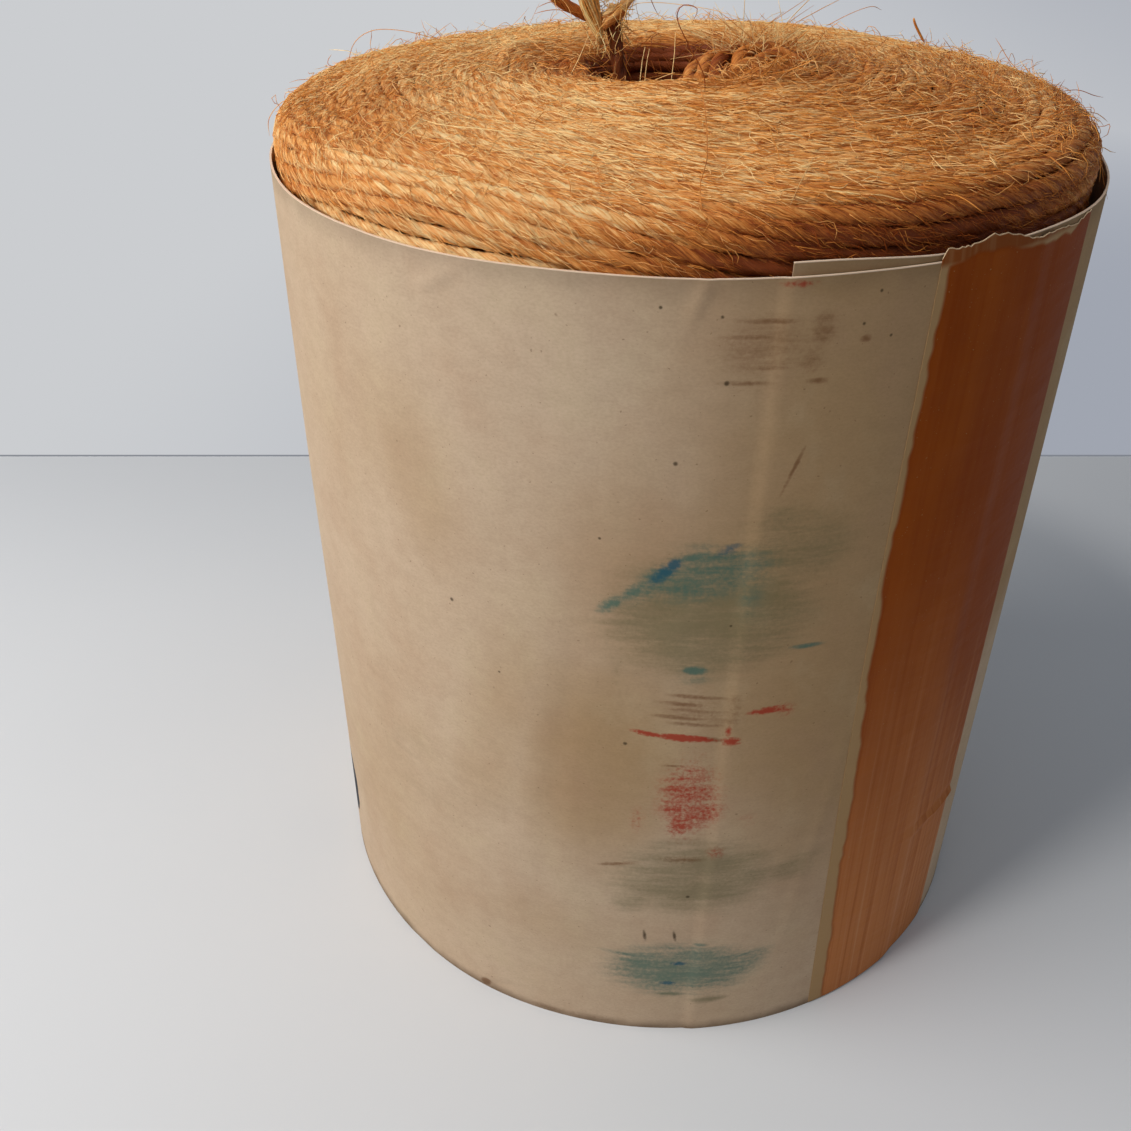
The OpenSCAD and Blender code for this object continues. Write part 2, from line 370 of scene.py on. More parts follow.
class Shader:
    """A material's nodes, while it is being made."""

    def __init__(self, name: str) -> None:
        """Starts a material with one plain surface.

        Args:
            name: The material's name.
        """
        self.material = bpy.data.materials.new(name)
        self.material.use_nodes = True
        self.nodes = self.material.node_tree.nodes
        self.links = self.material.node_tree.links
        self.surface = self.nodes["Principled BSDF"]

    def add(self, kind: str, feeds: dict[Any, Any] | None = None, **settings: Any) -> Node:
        """Adds a node.

        Args:
            kind: The node's type.
            feeds: What goes into its inputs, by their name or number.
            **settings: Its settings.

        Returns:
            The node.
        """
        node = self.nodes.new(kind)
        for key, value in settings.items():
            setattr(node, key, value)
        for key, value in (feeds or {}).items():
            self.feed(node.inputs[key], value)
        return node

    def feed(self, socket: NodeSocket, value: Any) -> None:
        """Links a socket to another, or sets it.

        Args:
            socket: The socket to feed.
            value: A socket or a value.
        """
        if isinstance(value, NodeSocket):
            self.links.new(value, socket)
        else:
            socket.default_value = value

    def place(self) -> NodeSocket:
        """Gives the place on the object, in metres."""
        return self.add("ShaderNodeTexCoord").outputs["Object"]

    def lay(self, name: str) -> NodeSocket:
        """Gives the place on a piece's own UV map."""
        return self.add("ShaderNodeUVMap", uv_map=name).outputs["UV"]

    def painted(self, name: str) -> NodeSocket:
        """Gives the number that a piece carries at each point."""
        return self.add("ShaderNodeAttribute", attribute_name=name).outputs["Fac"]

    def stretch(self, vector: Any, scale: Sequence[float], turn: float = 0.0) -> NodeSocket:
        """Stretches and turns a pattern.

        Args:
            vector: The place to start from.
            scale: Repeats along each axis.
            turn: Turn about Z, in degrees.

        Returns:
            The new place.
        """
        turned = (0, 0, math.radians(turn))
        feeds = {"Vector": vector, "Scale": scale, "Rotation": turned}
        return self.add("ShaderNodeMapping", feeds).outputs["Vector"]

    def streaks(
        self, vector: Any, scale: Sequence[float], detail: float = 2.0, rough: float = 0.5, turn: float = 0.0
    ) -> NodeSocket:
        """Adds noise with its own number of repeats along each axis."""
        return self.noise(self.stretch(vector, scale, turn), 1.0, detail, rough)

    def noise(self, vector: Any, scale: float, detail: float = 2.0, rough: float = 0.5) -> NodeSocket:
        """Adds cloudy noise.

        Args:
            vector: The place.
            scale: Repeats for each unit of the place.
            detail: Number of finer layers.
            rough: Weight of the finer layers.

        Returns:
            The noise, around 0.5.
        """
        feeds = {"Vector": vector, "Scale": scale, "Detail": detail, "Roughness": rough}
        return self.add("ShaderNodeTexNoise", feeds).outputs["Fac"]

    def sum(self, kind: str, first: Any, second: Any = 0.0, clamp: bool = False) -> NodeSocket:
        """Reckons with two numbers.

        Args:
            kind: The kind of sum, such as MULTIPLY.
            first: The first number.
            second: The second number.
            clamp: Whether the result is kept between 0 and 1.

        Returns:
            The result.
        """
        feeds = {0: first, 1: second}
        return self.add("ShaderNodeMath", feeds, operation=kind, use_clamp=clamp).outputs[0]

    def times(self, first: Any, second: Any, clamp: bool = False) -> NodeSocket:
        """Multiplies two numbers."""
        return self.sum("MULTIPLY", first, second, clamp)

    def plus(self, first: Any, second: Any, clamp: bool = False) -> NodeSocket:
        """Adds two numbers."""
        return self.sum("ADD", first, second, clamp)

    def minus(self, first: Any, second: Any, clamp: bool = False) -> NodeSocket:
        """Takes the second number from the first."""
        return self.sum("SUBTRACT", first, second, clamp)

    def about(self, value: Any, swing: float) -> NodeSocket:
        """Centres a number between 0 and 1 on 0, and makes it swing more or less."""
        return self.times(self.minus(value, 0.5), swing)

    def across_up(self, vector: Any) -> tuple[NodeSocket, NodeSocket]:
        """Gives the first two parts of a place."""
        parts = self.add("ShaderNodeSeparateXYZ", {0: vector}).outputs
        return parts["X"], parts["Y"]

    def coat(self, colour: Any, roughness: float, gloss: float = 0.5, relief: Any = None) -> Material:
        """Finishes the surface.

        Args:
            colour: Its colour.
            roughness: How rough it is.
            gloss: How strongly it mirrors.
            relief: Its direction, where it has fine relief.

        Returns:
            The finished material.
        """
        feeds = {"Base Color": colour, "Roughness": roughness, "Specular IOR Level": gloss}
        if relief is not None:
            feeds["Normal"] = relief
        for name, value in feeds.items():
            self.feed(self.surface.inputs[name], value)
        return self.material

    def fit(
        self, value: Any, low: float, high: float, out_low: float = 0.0, out_high: float = 1.0
    ) -> NodeSocket:
        """Fits a range of numbers to another, softly.

        Args:
            value: The number.
            low: Start of its range.
            high: End of its range.
            out_low: What the start becomes.
            out_high: What the end becomes.

        Returns:
            The fitted number.
        """
        feeds = dict(enumerate((value, low, high, out_low, out_high)))
        return self.add("ShaderNodeMapRange", feeds, interpolation_type="SMOOTHSTEP").outputs[0]

    def blend(self, share: Any, first: Any, second: Any) -> NodeSocket:
        """Blends two colours.

        Args:
            share: Share of the second colour.
            first: The first colour.
            second: The second colour.

        Returns:
            The blended colour.
        """
        feeds = {0: share, 6: first, 7: second}
        return self.add("ShaderNodeMix", feeds, data_type="RGBA").outputs[2]

    def dab(
        self, vector: Any, place: Sequence[float], size: Sequence[float], tilt: float = 0.0
    ) -> NodeSocket:
        """Adds a soft dab, 1 in its middle and 0 at its edge.

        Args:
            vector: The place.
            place: The dab's middle.
            size: Its reach along each axis, from its middle.
            tilt: Its tilt in degrees.

        Returns:
            The dab.
        """
        feeds = {"Vector": vector, "Location": place, "Scale": size}
        feeds["Rotation"] = (0, 0, math.radians(tilt))
        near = self.add("ShaderNodeMapping", feeds, vector_type="TEXTURE").outputs[0]
        return self.add("ShaderNodeTexGradient", {0: near}, gradient_type="SPHERICAL").outputs[1]

    def ramp(self, share: Any, stops: Sequence[tuple[float, Colour]]) -> NodeSocket:
        """Picks a colour from a row of them.

        Args:
            share: Where along the row, 0 to 1.
            stops: Places along the row and their colours.

        Returns:
            The colour.
        """
        node = self.add("ShaderNodeValToRGB", {0: share})
        while len(node.color_ramp.elements) < len(stops):
            node.color_ramp.elements.new(0.5)
        for element, (place, colour) in zip(node.color_ramp.elements, stops):
            element.position = place
            element.color = colour
        return node.outputs[0]

    def emboss(self, height: Any, depth: float, under: Any = None) -> NodeSocket:
        """Adds fine relief.

        Args:
            height: The relief, 0 to 1.
            depth: Its depth in metres.
            under: A coarser relief that it lies on.

        Returns:
            The surface direction to feed to the shader.
        """
        feeds = {"Strength": 1.0, "Distance": depth, "Height": height}
        if under is not None:
            feeds["Normal"] = under
        return self.add("ShaderNodeBump", feeds).outputs["Normal"]


@dataclass(frozen=True)
class TwineFinish:
    """Twisted natural fibre: combed streaks along the twist, with painted shade on the strands' undersides
    and between the lobes of their twist.
    """

    name: str
    groove_shade: Colour
    dark: Colour
    middle: Colour
    pale: Colour
    roughness: float = 0.5

    def make(self) -> Material:
        """Makes the material, which follows the strand's own map."""
        shader = Shader(self.name)
        lay = shader.lay(Strand.UV)
        fine = shader.streaks(lay, (30, 140, 1), 4.0, 0.68)
        broad = shader.streaks(lay, (11, 60, 1))
        matt = shader.noise(shader.place(), 480.0, 3.0, 0.6)
        mixed = shader.plus(shader.times(fine, 0.6), shader.times(broad, 0.22))
        mixed = shader.plus(mixed, shader.times(matt, 0.18))
        # The tone attribute carries the ball's painted light and shade.
        toned = shader.plus(mixed, shader.about(shader.painted(Strand.TONE), 0.34))
        stops = ((0.22, self.groove_shade), (0.37, self.dark), (0.49, self.middle), (0.61, self.pale))
        # Painted shade: the first colour darkens the strands' undersides and the hollows of their twist.
        crown = shader.fit(shader.painted(Strand.CROWN), 0.08, 0.55)
        colour = shader.blend(crown, self.groove_shade, shader.ramp(toned, stops))
        relief = shader.emboss(fine, 0.3 * MM, shader.emboss(broad, 0.5 * MM))
        return shader.coat(colour, self.roughness, 0.25, relief)


@dataclass(frozen=True)
class FibreFinish:
    """Single loose fibres, each of its own tone, with the ball's painted light and shade mixed into the tone
    of those grown on it.
    """

    name: str
    dark: Colour
    middle: Colour
    pale: Colour

    def make(self) -> Material:
        """Makes the material, which follows each fibre's tone."""
        shader = Shader(self.name)
        mottle = shader.noise(shader.place(), 900.0, 1.0)
        mixed = shader.plus(shader.painted(Strand.TONE), shader.about(mottle, 0.4), True)
        colour = shader.ramp(mixed, ((0.05, self.dark), (0.5, self.middle), (0.95, self.pale)))
        return shader.coat(colour, 0.5, 0.2)


@dataclass(frozen=True)
class PackedFinish:
    """Twine packed so deep that only brown shade shows between the strands."""

    name: str
    deep: Colour
    shallow: Colour

    def make(self) -> Material:
        """Makes the material."""
        shader = Shader(self.name)
        streaks = shader.noise(shader.stretch(shader.place(), (1, 1, 6)), 160.0, 3.0)
        colour = shader.ramp(streaks, ((0.35, self.deep), (0.7, self.shallow)))
        return shader.coat(colour, 0.9, relief=shader.emboss(streaks, 0.4 * MM))


@dataclass(frozen=True)
class PaperFinish:
    """Brown wrapping paper: mottled, flecked and rubbed, darker at its edges, with painted shade on its
    right side.
    """

    name: str
    fresh: Colour
    aged: Colour
    fleck: Colour
    edge_dark: Colour
    height: float
    # A fine mark's reach from its middle as a share of its size, and its strength in the middle
    spread: float = 0.72
    strength: float = 1.6
    blotch: Colour = tint(172, 136, 108)
    clearing: Colour = tint(206, 186, 150)
    cut: Colour = tint(232, 204, 176)
    dark_patch: Colour = tint(52, 54, 60)

    def make(self, dabs: Sequence["Smudge"]) -> Material:
        """Makes the material, which follows the sheet laid flat, in metres.

        Args:
            dabs: The marks too fine for the sheet's mesh, placed on the flat sheet in metres.

        Returns:
            The material.
        """
        shader = Shader(self.name)
        flat = shader.lay(PaperSleeve.UV)
        clouds = shader.noise(flat, 14.0, 4.0, 0.6)
        # The ageing colour is partly painted shade: its attribute is laid on most heavily on the side turned
        # from the lamps.
        age_and_shade = shader.plus(shader.painted(Pigment.AGED_AND_SHADED.value), shader.times(clouds, 0.9))
        colour = shader.blend(shader.fit(age_and_shade, 0.25, 1.3), self.fresh, self.aged)
        blotches = shader.noise(shader.stretch(flat, (1, 0.7, 1), 25.0), 42.0, 4.0, 0.62)
        mottle = shader.noise(shader.stretch(flat, (1, 1.5, 1)), 210.0, 4.0, 0.7)
        pulp = shader.noise(shader.stretch(flat, (1, 1.6, 1)), 1200.0, 3.0, 0.65)
        layers = (
            (blotches, 0.46, 0.72, 0.26, self.blotch),
            (blotches, 0.5, 0.3, 0.2, self.clearing),
            (mottle, 0.35, 0.68, 0.09, self.fleck),
            (pulp, 0.35, 0.7, 0.13, self.fleck),
            (shader.noise(flat, 1150.0, 1.0), 0.725, 0.785, 0.5, self.fleck),
            (shader.noise(flat, 430.0, 1.0), 0.77, 0.83, 0.5, self.fleck),
        )
        for cloud, low, high, most, tone in layers:
            colour = shader.blend(shader.fit(cloud, low, high, 0.0, most), colour, tone)
        colour = self.rub(shader, flat, colour, dabs)
        colour = self.darken_edges(shader, flat, colour)
        edge = shader.fit(shader.painted(PaperSleeve.CUT), 0.82, 0.92)
        colour = shader.blend(edge, colour, self.cut)
        cockle = shader.emboss(shader.noise(flat, 45.0, 2.0), 0.5 * MM)
        return shader.coat(colour, 0.8, 0.14, shader.emboss(pulp, 0.025 * MM, cockle))

    def rub(self, shader: Shader, flat: Any, colour: Any, dabs: Sequence["Smudge"]) -> NodeSocket:
        """Rubs the pigments over the paper in broken streaks.

        Args:
            shader: The material under way.
            flat: The place on the flat sheet.
            colour: The paper's colour so far.
            dabs: The fine marks, placed on the flat sheet.

        Returns:
            The paper's colour with the rubbed marks.
        """
        streaks = shader.streaks(flat, (75, 620, 1), 4.0, 0.6, 3.0)
        grain = shader.noise(flat, 1000.0, 3.0, 0.6)
        patchy = shader.streaks(flat, (38, 90, 1), 3.0, 0.6, 2.0)
        pigments = (
            (Pigment.GREY, tint(98, 96, 64), 0.6, 1.0, 0.6),
            (Pigment.BROWN, tint(116, 76, 46), 0.75, 1.1, 0.9),
            (Pigment.TEAL, tint(66, 104, 92), 0.8, 1.2, 0.9),
            (Pigment.BLUE, tint(36, 84, 100), 0.85, 0.8, 0.9),
            (Pigment.RED, tint(160, 50, 30), 0.9, 1.1, 1.9),
            (Pigment.SPECK, tint(66, 50, 32), 0.85, 0.0, 1.0),
        )
        for pigment, shade, most, streaky, grainy in pigments:
            load = shader.painted(pigment.value)
            for mark in dabs:
                if mark.pigment is pigment:
                    reach = (self.spread * mark.length, self.spread * mark.width, 1.0)
                    dab = shader.dab(flat, (mark.angle, mark.height, 0.0), reach, mark.tilt)
                    load = shader.sum("MAXIMUM", load, shader.times(dab, self.strength * mark.load))
            broken = shader.plus(shader.about(streaks, streaky), shader.about(grain, grainy))
            if pigment is not Pigment.SPECK:
                broken = shader.plus(broken, shader.about(patchy, 1.3))
            edge = shader.fit(shader.plus(load, broken), -0.05, 1.0, 0.0, most)
            colour = shader.blend(shader.times(edge, shader.fit(load, 0.0, 0.5)), colour, shade)
        dark = shader.plus(shader.painted(Pigment.DARK.value), shader.about(patchy, 0.85))
        return shader.blend(shader.fit(dark, 0.45, 0.6), colour, self.dark_patch)

    def darken_edges(self, shader: Shader, flat: Any, colour: Any) -> NodeSocket:
        """Darkens the sheet's lower edge, and a little its rim.

        Args:
            shader: The material under way.
            flat: The place on the flat sheet.
            colour: The paper's colour so far.

        Returns:
            The paper's colour with darkened edges.
        """
        height = shader.across_up(flat)[1]
        wear = shader.noise(flat, 120.0, 3.0)
        low = shader.minus(height, shader.times(wear, 4 * MM))
        colour = shader.blend(shader.fit(low, -3 * MM, 2.0 * MM, 0.75, 0.0), colour, self.edge_dark)
        rim = shader.plus(height, shader.times(wear, 5 * MM))
        rim_dark = shader.fit(rim, self.height - 4 * MM, self.height + 4 * MM, 0.0, 0.3)
        return shader.blend(rim_dark, colour, self.edge_dark)


@dataclass(frozen=True)
class TapeFinish:
    """Old brown packing tape: streaked and dusty, with the bare film along one edge and painted shade over
    its right part above its lower end.
    """

    name: str
    brown: Colour
    deep: Colour
    faded: Colour
    film: Colour
    rim: Colour
    amber: Colour

    def make(self) -> Material:
        """Makes the material, which follows the strip laid flat, in metres."""
        shader = Shader(self.name)
        flat = shader.lay(PackingTape.UV)
        x, up = shader.across_up(flat)
        clouds = shader.streaks(flat, (60, 14, 1), 4.0, 0.6)
        reed = shader.streaks(flat, (620, 7, 1), 3.0, 0.55)
        right = shader.fit(x, 20 * MM, 44 * MM)
        low = shader.fit(shader.plus(up, shader.times(clouds, 0.03)), 0.17, 0.03)
        colour = shader.blend(shader.fit(clouds, 0.3, 0.7), self.brown, self.deep)
        dry = shader.plus(0.1, shader.times(right, low))
        worn = shader.times(shader.times(shader.fit(reed, 0.42, 0.72), dry), 0.35, True)
        # Painted shade: the tape's right part is darkened above its lower end, together with the dark lines
        # of its streaks.
        painted_shade = shader.times(shader.minus(right, low, True), 0.8)
        grooves_and_shade = shader.plus(shader.fit(reed, 0.5, 0.32, 0.0, 0.4), painted_shade, True)
        ridges = shader.times(shader.fit(reed, 0.54, 0.68, 0.0, 0.12), low)
        dust = shader.fit(shader.noise(flat, 1500.0, 1.0), 0.7, 0.8, 0.0, 0.55)
        bare = shader.painted(PackingTape.BARE)
        brink = shader.times(shader.times(bare, shader.minus(1.0, bare)), 2.0, True)
        above = shader.times(shader.fit(up, 212.6 * MM, 214.2 * MM), shader.fit(reed, 0.2, 0.6, 0.7, 1.0))
        layers = (
            (shader.times(low, 0.85), self.faded),
            (worn, self.faded),
            (grooves_and_shade, self.deep),
            (ridges, self.rim),
            (dust, self.film),
            (shader.fit(bare, 0.15, 0.9), shader.blend(above, self.film, self.amber)),
            (brink, self.deep),
            (shader.fit(shader.painted(PackingTape.TORN), 0.3, 0.9), self.rim),
        )
        for share, tone in layers:
            colour = shader.blend(share, colour, tone)
        ripple = shader.emboss(shader.streaks(flat, (30, 90, 1), 3.0), 0.7 * MM)
        return shader.coat(colour, 0.42, 0.03, shader.emboss(reed, 0.05 * MM, ripple))


@dataclass(frozen=True)
class FloorFinish:
    """Plain pale floor, with painted shade towards its far edge, and the backdrop's colour beyond it, with a
    painted shadow of the ball and painted shade towards the right.
    """

    name: str
    floor: Colour
    wall: Colour
    wall_shade: Colour
    seam: Colour
    far_edge: float
    seam_width: float = 0.8 * MM

    def make(self) -> Material:
        """Makes the material, which follows the place on the floor."""
        shader = Shader(self.name)
        place = shader.place()
        x, y = shader.across_up(place)
        grain = shader.fit(shader.noise(place, 3.0, 3.0), 0.3, 0.7, 0.0, 0.04)
        tone = shader.blend(grain, self.floor, self.seam)
        # Painted shade on the floor towards its far edge, where the backdrop would meet it.
        far = shader.fit(y, 0.08, self.far_edge, 0.0, 0.12)
        shader.coat(shader.blend(far, tone, self.seam), 0.55, 0.3)
        # Painted shadow of the ball on the backdrop, and painted shade growing towards the right.
        ball = shader.dab(place, (0.42, 0.22, 0.0), (0.75, 1.0, 1.0))
        wide = shader.fit(x, -0.05, 0.9, 0.0, 0.62)
        shade = shader.sum("MAXIMUM", shader.fit(ball, 0.0, 0.75), wide)
        wall = shader.blend(shade, self.wall, self.wall_shade)
        line = shader.fit(shader.sum("ABSOLUTE", shader.minus(y, self.far_edge)), 0.0, 2 * self.seam_width)
        glow = shader.add("ShaderNodeEmission", {"Color": shader.blend(line, self.seam, wall)})
        beyond = shader.sum("GREATER_THAN", y, self.far_edge - self.seam_width)
        seen = shader.add("ShaderNodeLightPath").outputs["Is Camera Ray"]
        feeds = {0: shader.times(beyond, seen), 1: shader.surface.outputs[0], 2: glow.outputs[0]}
        switch = shader.add("ShaderNodeMixShader", feeds)
        shader.feed(shader.nodes["Material Output"].inputs["Surface"], switch.outputs[0])
        return shader.material


# ---------------------------------------------------------------------- twine


@dataclass(frozen=True)
class Strand:
    """Single-ply twine: fibres twisted into one round, slightly lumpy strand."""

    radius: float = 1.475 * MM
    twist: float = 18.0 * MM
    lump: float = 0.15 * MM
    sides: int = 12

    UV = "fibre_lay"
    TONE = "tone"
    CROWN = "crown"

    def sweep(
        self,
        name: str,
        centres: Array,
        outward: Array,
        rng: Chance,
        spread: Any = 1.0,
        sides: int = 0,
        shade: Any = 0.0,
        laid: bool = True,
    ) -> Object:
        """Sweeps a strand along a line. Its edges run along the twist, as its fibres do.

        Args:
            name: The piece's name.
            centres: Points along the strand's middle.
            outward: Direction away from what the strand lies on, at each point.
            rng: Source of chance.
            spread: How much wider than high the strand is, for all points or each.
            sides: Number of faces round the strand, or 0 for the strand's own.
            shade: How much paler the strand is painted, for all points or each; on the ball it carries
                painted light and shade.
            laid: Whether it lies on the ball, so that its underside takes painted shade.

        Returns:
            The strand, closed at both ends.
        """
        sides = sides or self.sides
        count = len(centres)
        along = unit(np.gradient(centres, axis=0))
        out = unit(outward - np.sum(outward * along, axis=1)[:, None] * along)
        side = np.cross(along, out)
        run = run_of(centres)
        corner = TURN * np.arange(sides) / sides
        angle = TURN * run[:, None] / self.twist + corner[None, :]
        every = max(2, round(0.02 / (run[-1] / count)))
        ridges = np.stack([drift(rng, count, every) for _ in range(sides)], axis=1)
        ridges = 0.5 * ridges + 0.85 * np.cos(3 * corner)[None, :]
        reach = self.radius + self.lump * (ridges - 0.3)
        wide = np.broadcast_to(np.asarray(spread, float), (count,))[:, None]
        points = (
            centres[:, None]
            + (reach * np.cos(angle))[..., None] * out[:, None]
            + (reach * wide * np.sin(angle))[..., None] * side[:, None]
        )
        ring = np.arange(count - 1)[:, None] * sides
        here = np.arange(sides)[None, :]
        there = (here + 1) % sides
        quads = np.stack([ring + here, ring + there, ring + sides + there, ring + sides + here], axis=-1)
        last = (count - 1) * sides
        caps = [list(range(sides - 1, -1, -1)), list(range(last, last + sides))]
        piece = mesh_object(name, points.reshape(-1, 3), quads.reshape(-1, 4).tolist() + caps)
        u = np.stack([here, here + 1, here + 1, here], axis=-1) / sides
        v = np.stack([run[:-1], run[:-1], run[1:], run[1:]], axis=-1)
        corners = np.stack(np.broadcast_arrays(u, v[:, None, :]), axis=-1).reshape(-1, 2)
        ends = np.zeros((2 * sides, 2))
        lay_uv(piece, self.UV, np.vstack([corners, ends]))
        slow = drift(rng, count, 3 * every)[:, None]
        shade = np.broadcast_to(np.asarray(shade, float), (count,))[:, None]
        # The tone carries the painted light and shade that is passed in.
        paint(piece, self.TONE, np.clip(0.5 + 0.24 * slow + 0.14 * ridges + shade, -1, 2))
        # Painted shade: the crown darkens a laid strand's underside, or a free strand's twist between its
        # lobes.
        paint(piece, self.CROWN, 0.5 + 0.5 * np.cos(angle) if laid else 0.66 + 0.25 * ridges)
        return piece


def fibre_object(
    name: str,
    paths: Array,
    outward: Array,
    thickness: Array,
    tones: Array,
) -> Object:
    """Makes many loose fibres as one piece. Each is three-sided and thins towards its ends.

    Args:
        name: The piece's name.
        paths: Points along each fibre, as fibres by points by 3.
        outward: Direction away from the surface, shaped as the paths.
        thickness: Radius of each fibre.
        tones: Tone of each fibre, 0 dark to 1 pale.

    Returns:
        The fibres, each closed at both ends.
    """
    fibres, rings = paths.shape[:2]
    along = unit(np.gradient(paths, axis=1))
    out = unit(outward - np.sum(outward * along, axis=-1, keepdims=True) * along)
    side = np.cross(along, out)
    share = np.linspace(0, 1, rings)
    taper = np.clip(np.minimum(share * 6 + 0.55, (1 - share) * 4 + 0.3), 0, 1)
    reach = thickness[:, None] * taper[None, :]
    corners = []
    for k in range(3):
        angle = TURN * k / 3
        corners.append(paths + reach[..., None] * (math.cos(angle) * out + math.sin(angle) * side))
    points = np.stack(corners, axis=2)
    base = (np.arange(fibres)[:, None] * rings + np.arange(rings - 1)[None, :])[..., None] * 3
    here = np.arange(3)
    there = (here + 1) % 3
    quads = np.stack([base + here, base + there, base + 3 + there, base + 3 + here], axis=-1)
    first = np.arange(fibres)[:, None] * rings * 3
    starts = first + np.array([[2, 1, 0]])
    ends = first + (rings - 1) * 3 + np.array([[0, 1, 2]])
    faces = quads.reshape(-1, 4).tolist() + starts.tolist() + ends.tolist()
    piece = mesh_object(name, points.reshape(-1, 3), faces)
    paint(piece, Strand.TONE, np.repeat(np.clip(tones, 0, 1), rings * 3))
    return piece


# ---------------------------------------------------------------- ball's shape


class Walk:
    """A walk along the ball's outline: surface points and outward directions by distance."""

    def __init__(self, stretches: Sequence[Array], depth: float) -> None:
        """Joins stretches of outline, and measures them below the surface.

        Args:
            stretches: Rows of radius, height and the outward direction's two parts.
            depth: Depth below the surface at which distance is measured.
        """
        self.rows = np.concatenate(stretches)
        middle = self.rows[:, :2] - depth * self.rows[:, 2:]
        self.run = run_of(middle)
        self.length = float(self.run[-1])

    def at(self, distance: Array, depth: Any) -> tuple[Array, ...]:
        """Gives points below the surface.

        Args:
            distance: Distances along the walk.
            depth: Depth below the surface.

        Returns:
            Radius, height and the outward direction's two parts.
        """
        r, z, nr, nz = (np.interp(distance, self.run, self.rows[:, i]) for i in range(4))
        length = np.hypot(nr, nz)
        nr, nz = nr / length, nz / length
        return r - depth * nr, z - depth * nz, nr, nz


@dataclass(frozen=True)
class BallShape:
    """The wound ball's outline, from its centre hole over the dome and down to its foot."""

    radius: float = 95.5 * MM
    side_height: float = 218.0 * MM
    shoulder: float = 8.0 * MM
    slope: float = 10.0
    foot: float = 8.0 * MM
    hole: float = 18.5 * MM
    lip: float = 7.0 * MM
    rim: float = 214.0 * MM
    lean: tuple[float, float] = (-1.023 * MM, -1.358 * MM)

    @property
    def dome_radius(self) -> float:
        """Radius of the dome's sphere."""
        return (self.radius - self.shoulder) / math.sin(math.radians(self.slope)) + self.shoulder

    @property
    def dome_centre(self) -> float:
        """Height of the dome's centre, far below the floor."""
        return self.side_height - (self.dome_radius - self.shoulder) * math.cos(math.radians(self.slope))

    @property
    def lip_slope(self) -> float:
        """Slope at which the lip meets the dome, in degrees."""
        return math.degrees(math.asin((self.hole + self.lip) / (self.dome_radius - self.lip)))

    @property
    def lip_height(self) -> float:
        """Height of the centre of the lip's rounding."""
        return self.dome_centre + (self.dome_radius - self.lip) * math.cos(math.radians(self.lip_slope))

    @staticmethod
    def straight(start: tuple[float, float], end: tuple[float, float], facing: float) -> Array:
        """Gives a straight stretch of outline.

        Args:
            start: Radius and height where it starts.
            end: Radius and height where it ends.
            facing: Its outward direction, in degrees from +Z towards the side.

        Returns:
            Rows for a walk.
        """
        places = np.linspace(start, end, 12)
        normal = (math.sin(math.radians(facing)), math.cos(math.radians(facing)))
        return np.column_stack([places, np.tile(normal, (12, 1))])

    @staticmethod
    def arc(centre: tuple[float, float], radius: float, start: float, end: float) -> Array:
        """Gives a round stretch of outline.

        Args:
            centre: Radius and height of its centre.
            radius: Its radius.
            start: Outward direction where it starts, in degrees from +Z towards the side.
            end: Outward direction where it ends.

        Returns:
            Rows for a walk.
        """
        facing = np.radians(np.linspace(start, end, 40))
        normal = np.column_stack([np.sin(facing), np.cos(facing)])
        return np.column_stack([np.array(centre) + radius * normal, normal])

    def over(self, depth: float) -> Walk:
        """Walks up the hole's wall, over the lip, the dome and the shoulder, and down the side."""
        lip, dome = (self.hole + self.lip, self.lip_height), (0.0, self.dome_centre)
        shoulder = (self.radius - self.shoulder, self.side_height)
        return Walk(
            [
                self.straight((self.hole, 1.6 * MM), (self.hole, self.lip_height), -90),
                self.arc(lip, self.lip, -90, self.lip_slope),
                self.arc(dome, self.dome_radius, self.lip_slope, self.slope),
                self.arc(shoulder, self.shoulder, self.slope, 90),
                self.straight((self.radius, self.side_height), (self.radius, self.foot), 90),
            ],
            depth,
        )

    def down(self, depth: float) -> Walk:
        """Walks from the dome's edge down the side, round the foot and in to the hole."""
        shoulder = (self.radius - self.shoulder, self.side_height)
        foot = (self.radius - self.foot, self.foot)
        return Walk(
            [
                self.arc((0.0, self.dome_centre), self.dome_radius, 8.6, self.slope),
                self.arc(shoulder, self.shoulder, self.slope, 90),
                self.straight((self.radius, self.side_height), (self.radius, self.foot), 90),
                self.arc(foot, self.foot, 90, 180),
                self.straight((self.radius - self.foot, 0.0), (self.hole + 1.8 * MM, 0.0), 180),
            ],
            depth,
        )

    def wind(self, walk: Walk, distance: Any, angle: Any, depth: Any) -> tuple[Array, Array]:
        """Turns places on a walk into points round the ball.

        Args:
            walk: The walk.
            distance: Distances along it.
            angle: Angles round the ball.
            depth: Depths below the surface.

        Returns:
            The points and their outward directions.
        """
        r, z, nr, nz = walk.at(distance, depth)
        cosine, sine = np.cos(angle), np.sin(angle)
        points = np.stack([r * cosine + self.lean[0], r * sine + self.lean[1], z], axis=-1)
        return points, np.stack([nr * cosine, nr * sine, nz], axis=-1)


@dataclass(frozen=True)
class Unevenness:
    """Slow waves over the ball's surface, the same from turn to turn."""

    amount: float
    least: float
    seed: Seed
    waves: int = 7

    def at(self, angle: Array, distance: Array) -> Array:
        """Gives the unevenness at places on the ball.

        Args:
            angle: Angles round the ball.
            distance: Distances along the outline.

        Returns:
            How far off the even place each is.
        """
        rng = self.seed.start()
        total = np.zeros(np.broadcast(angle, distance).shape)
        for _ in range(self.waves):
            around = int(rng.integers(1, 11))
            across = float(rng.uniform(-1, 1)) * TURN / self.least
            total = total + np.sin(around * angle + across * distance + float(rng.uniform(0, TURN)))
        return self.amount * total / math.sqrt(self.waves)


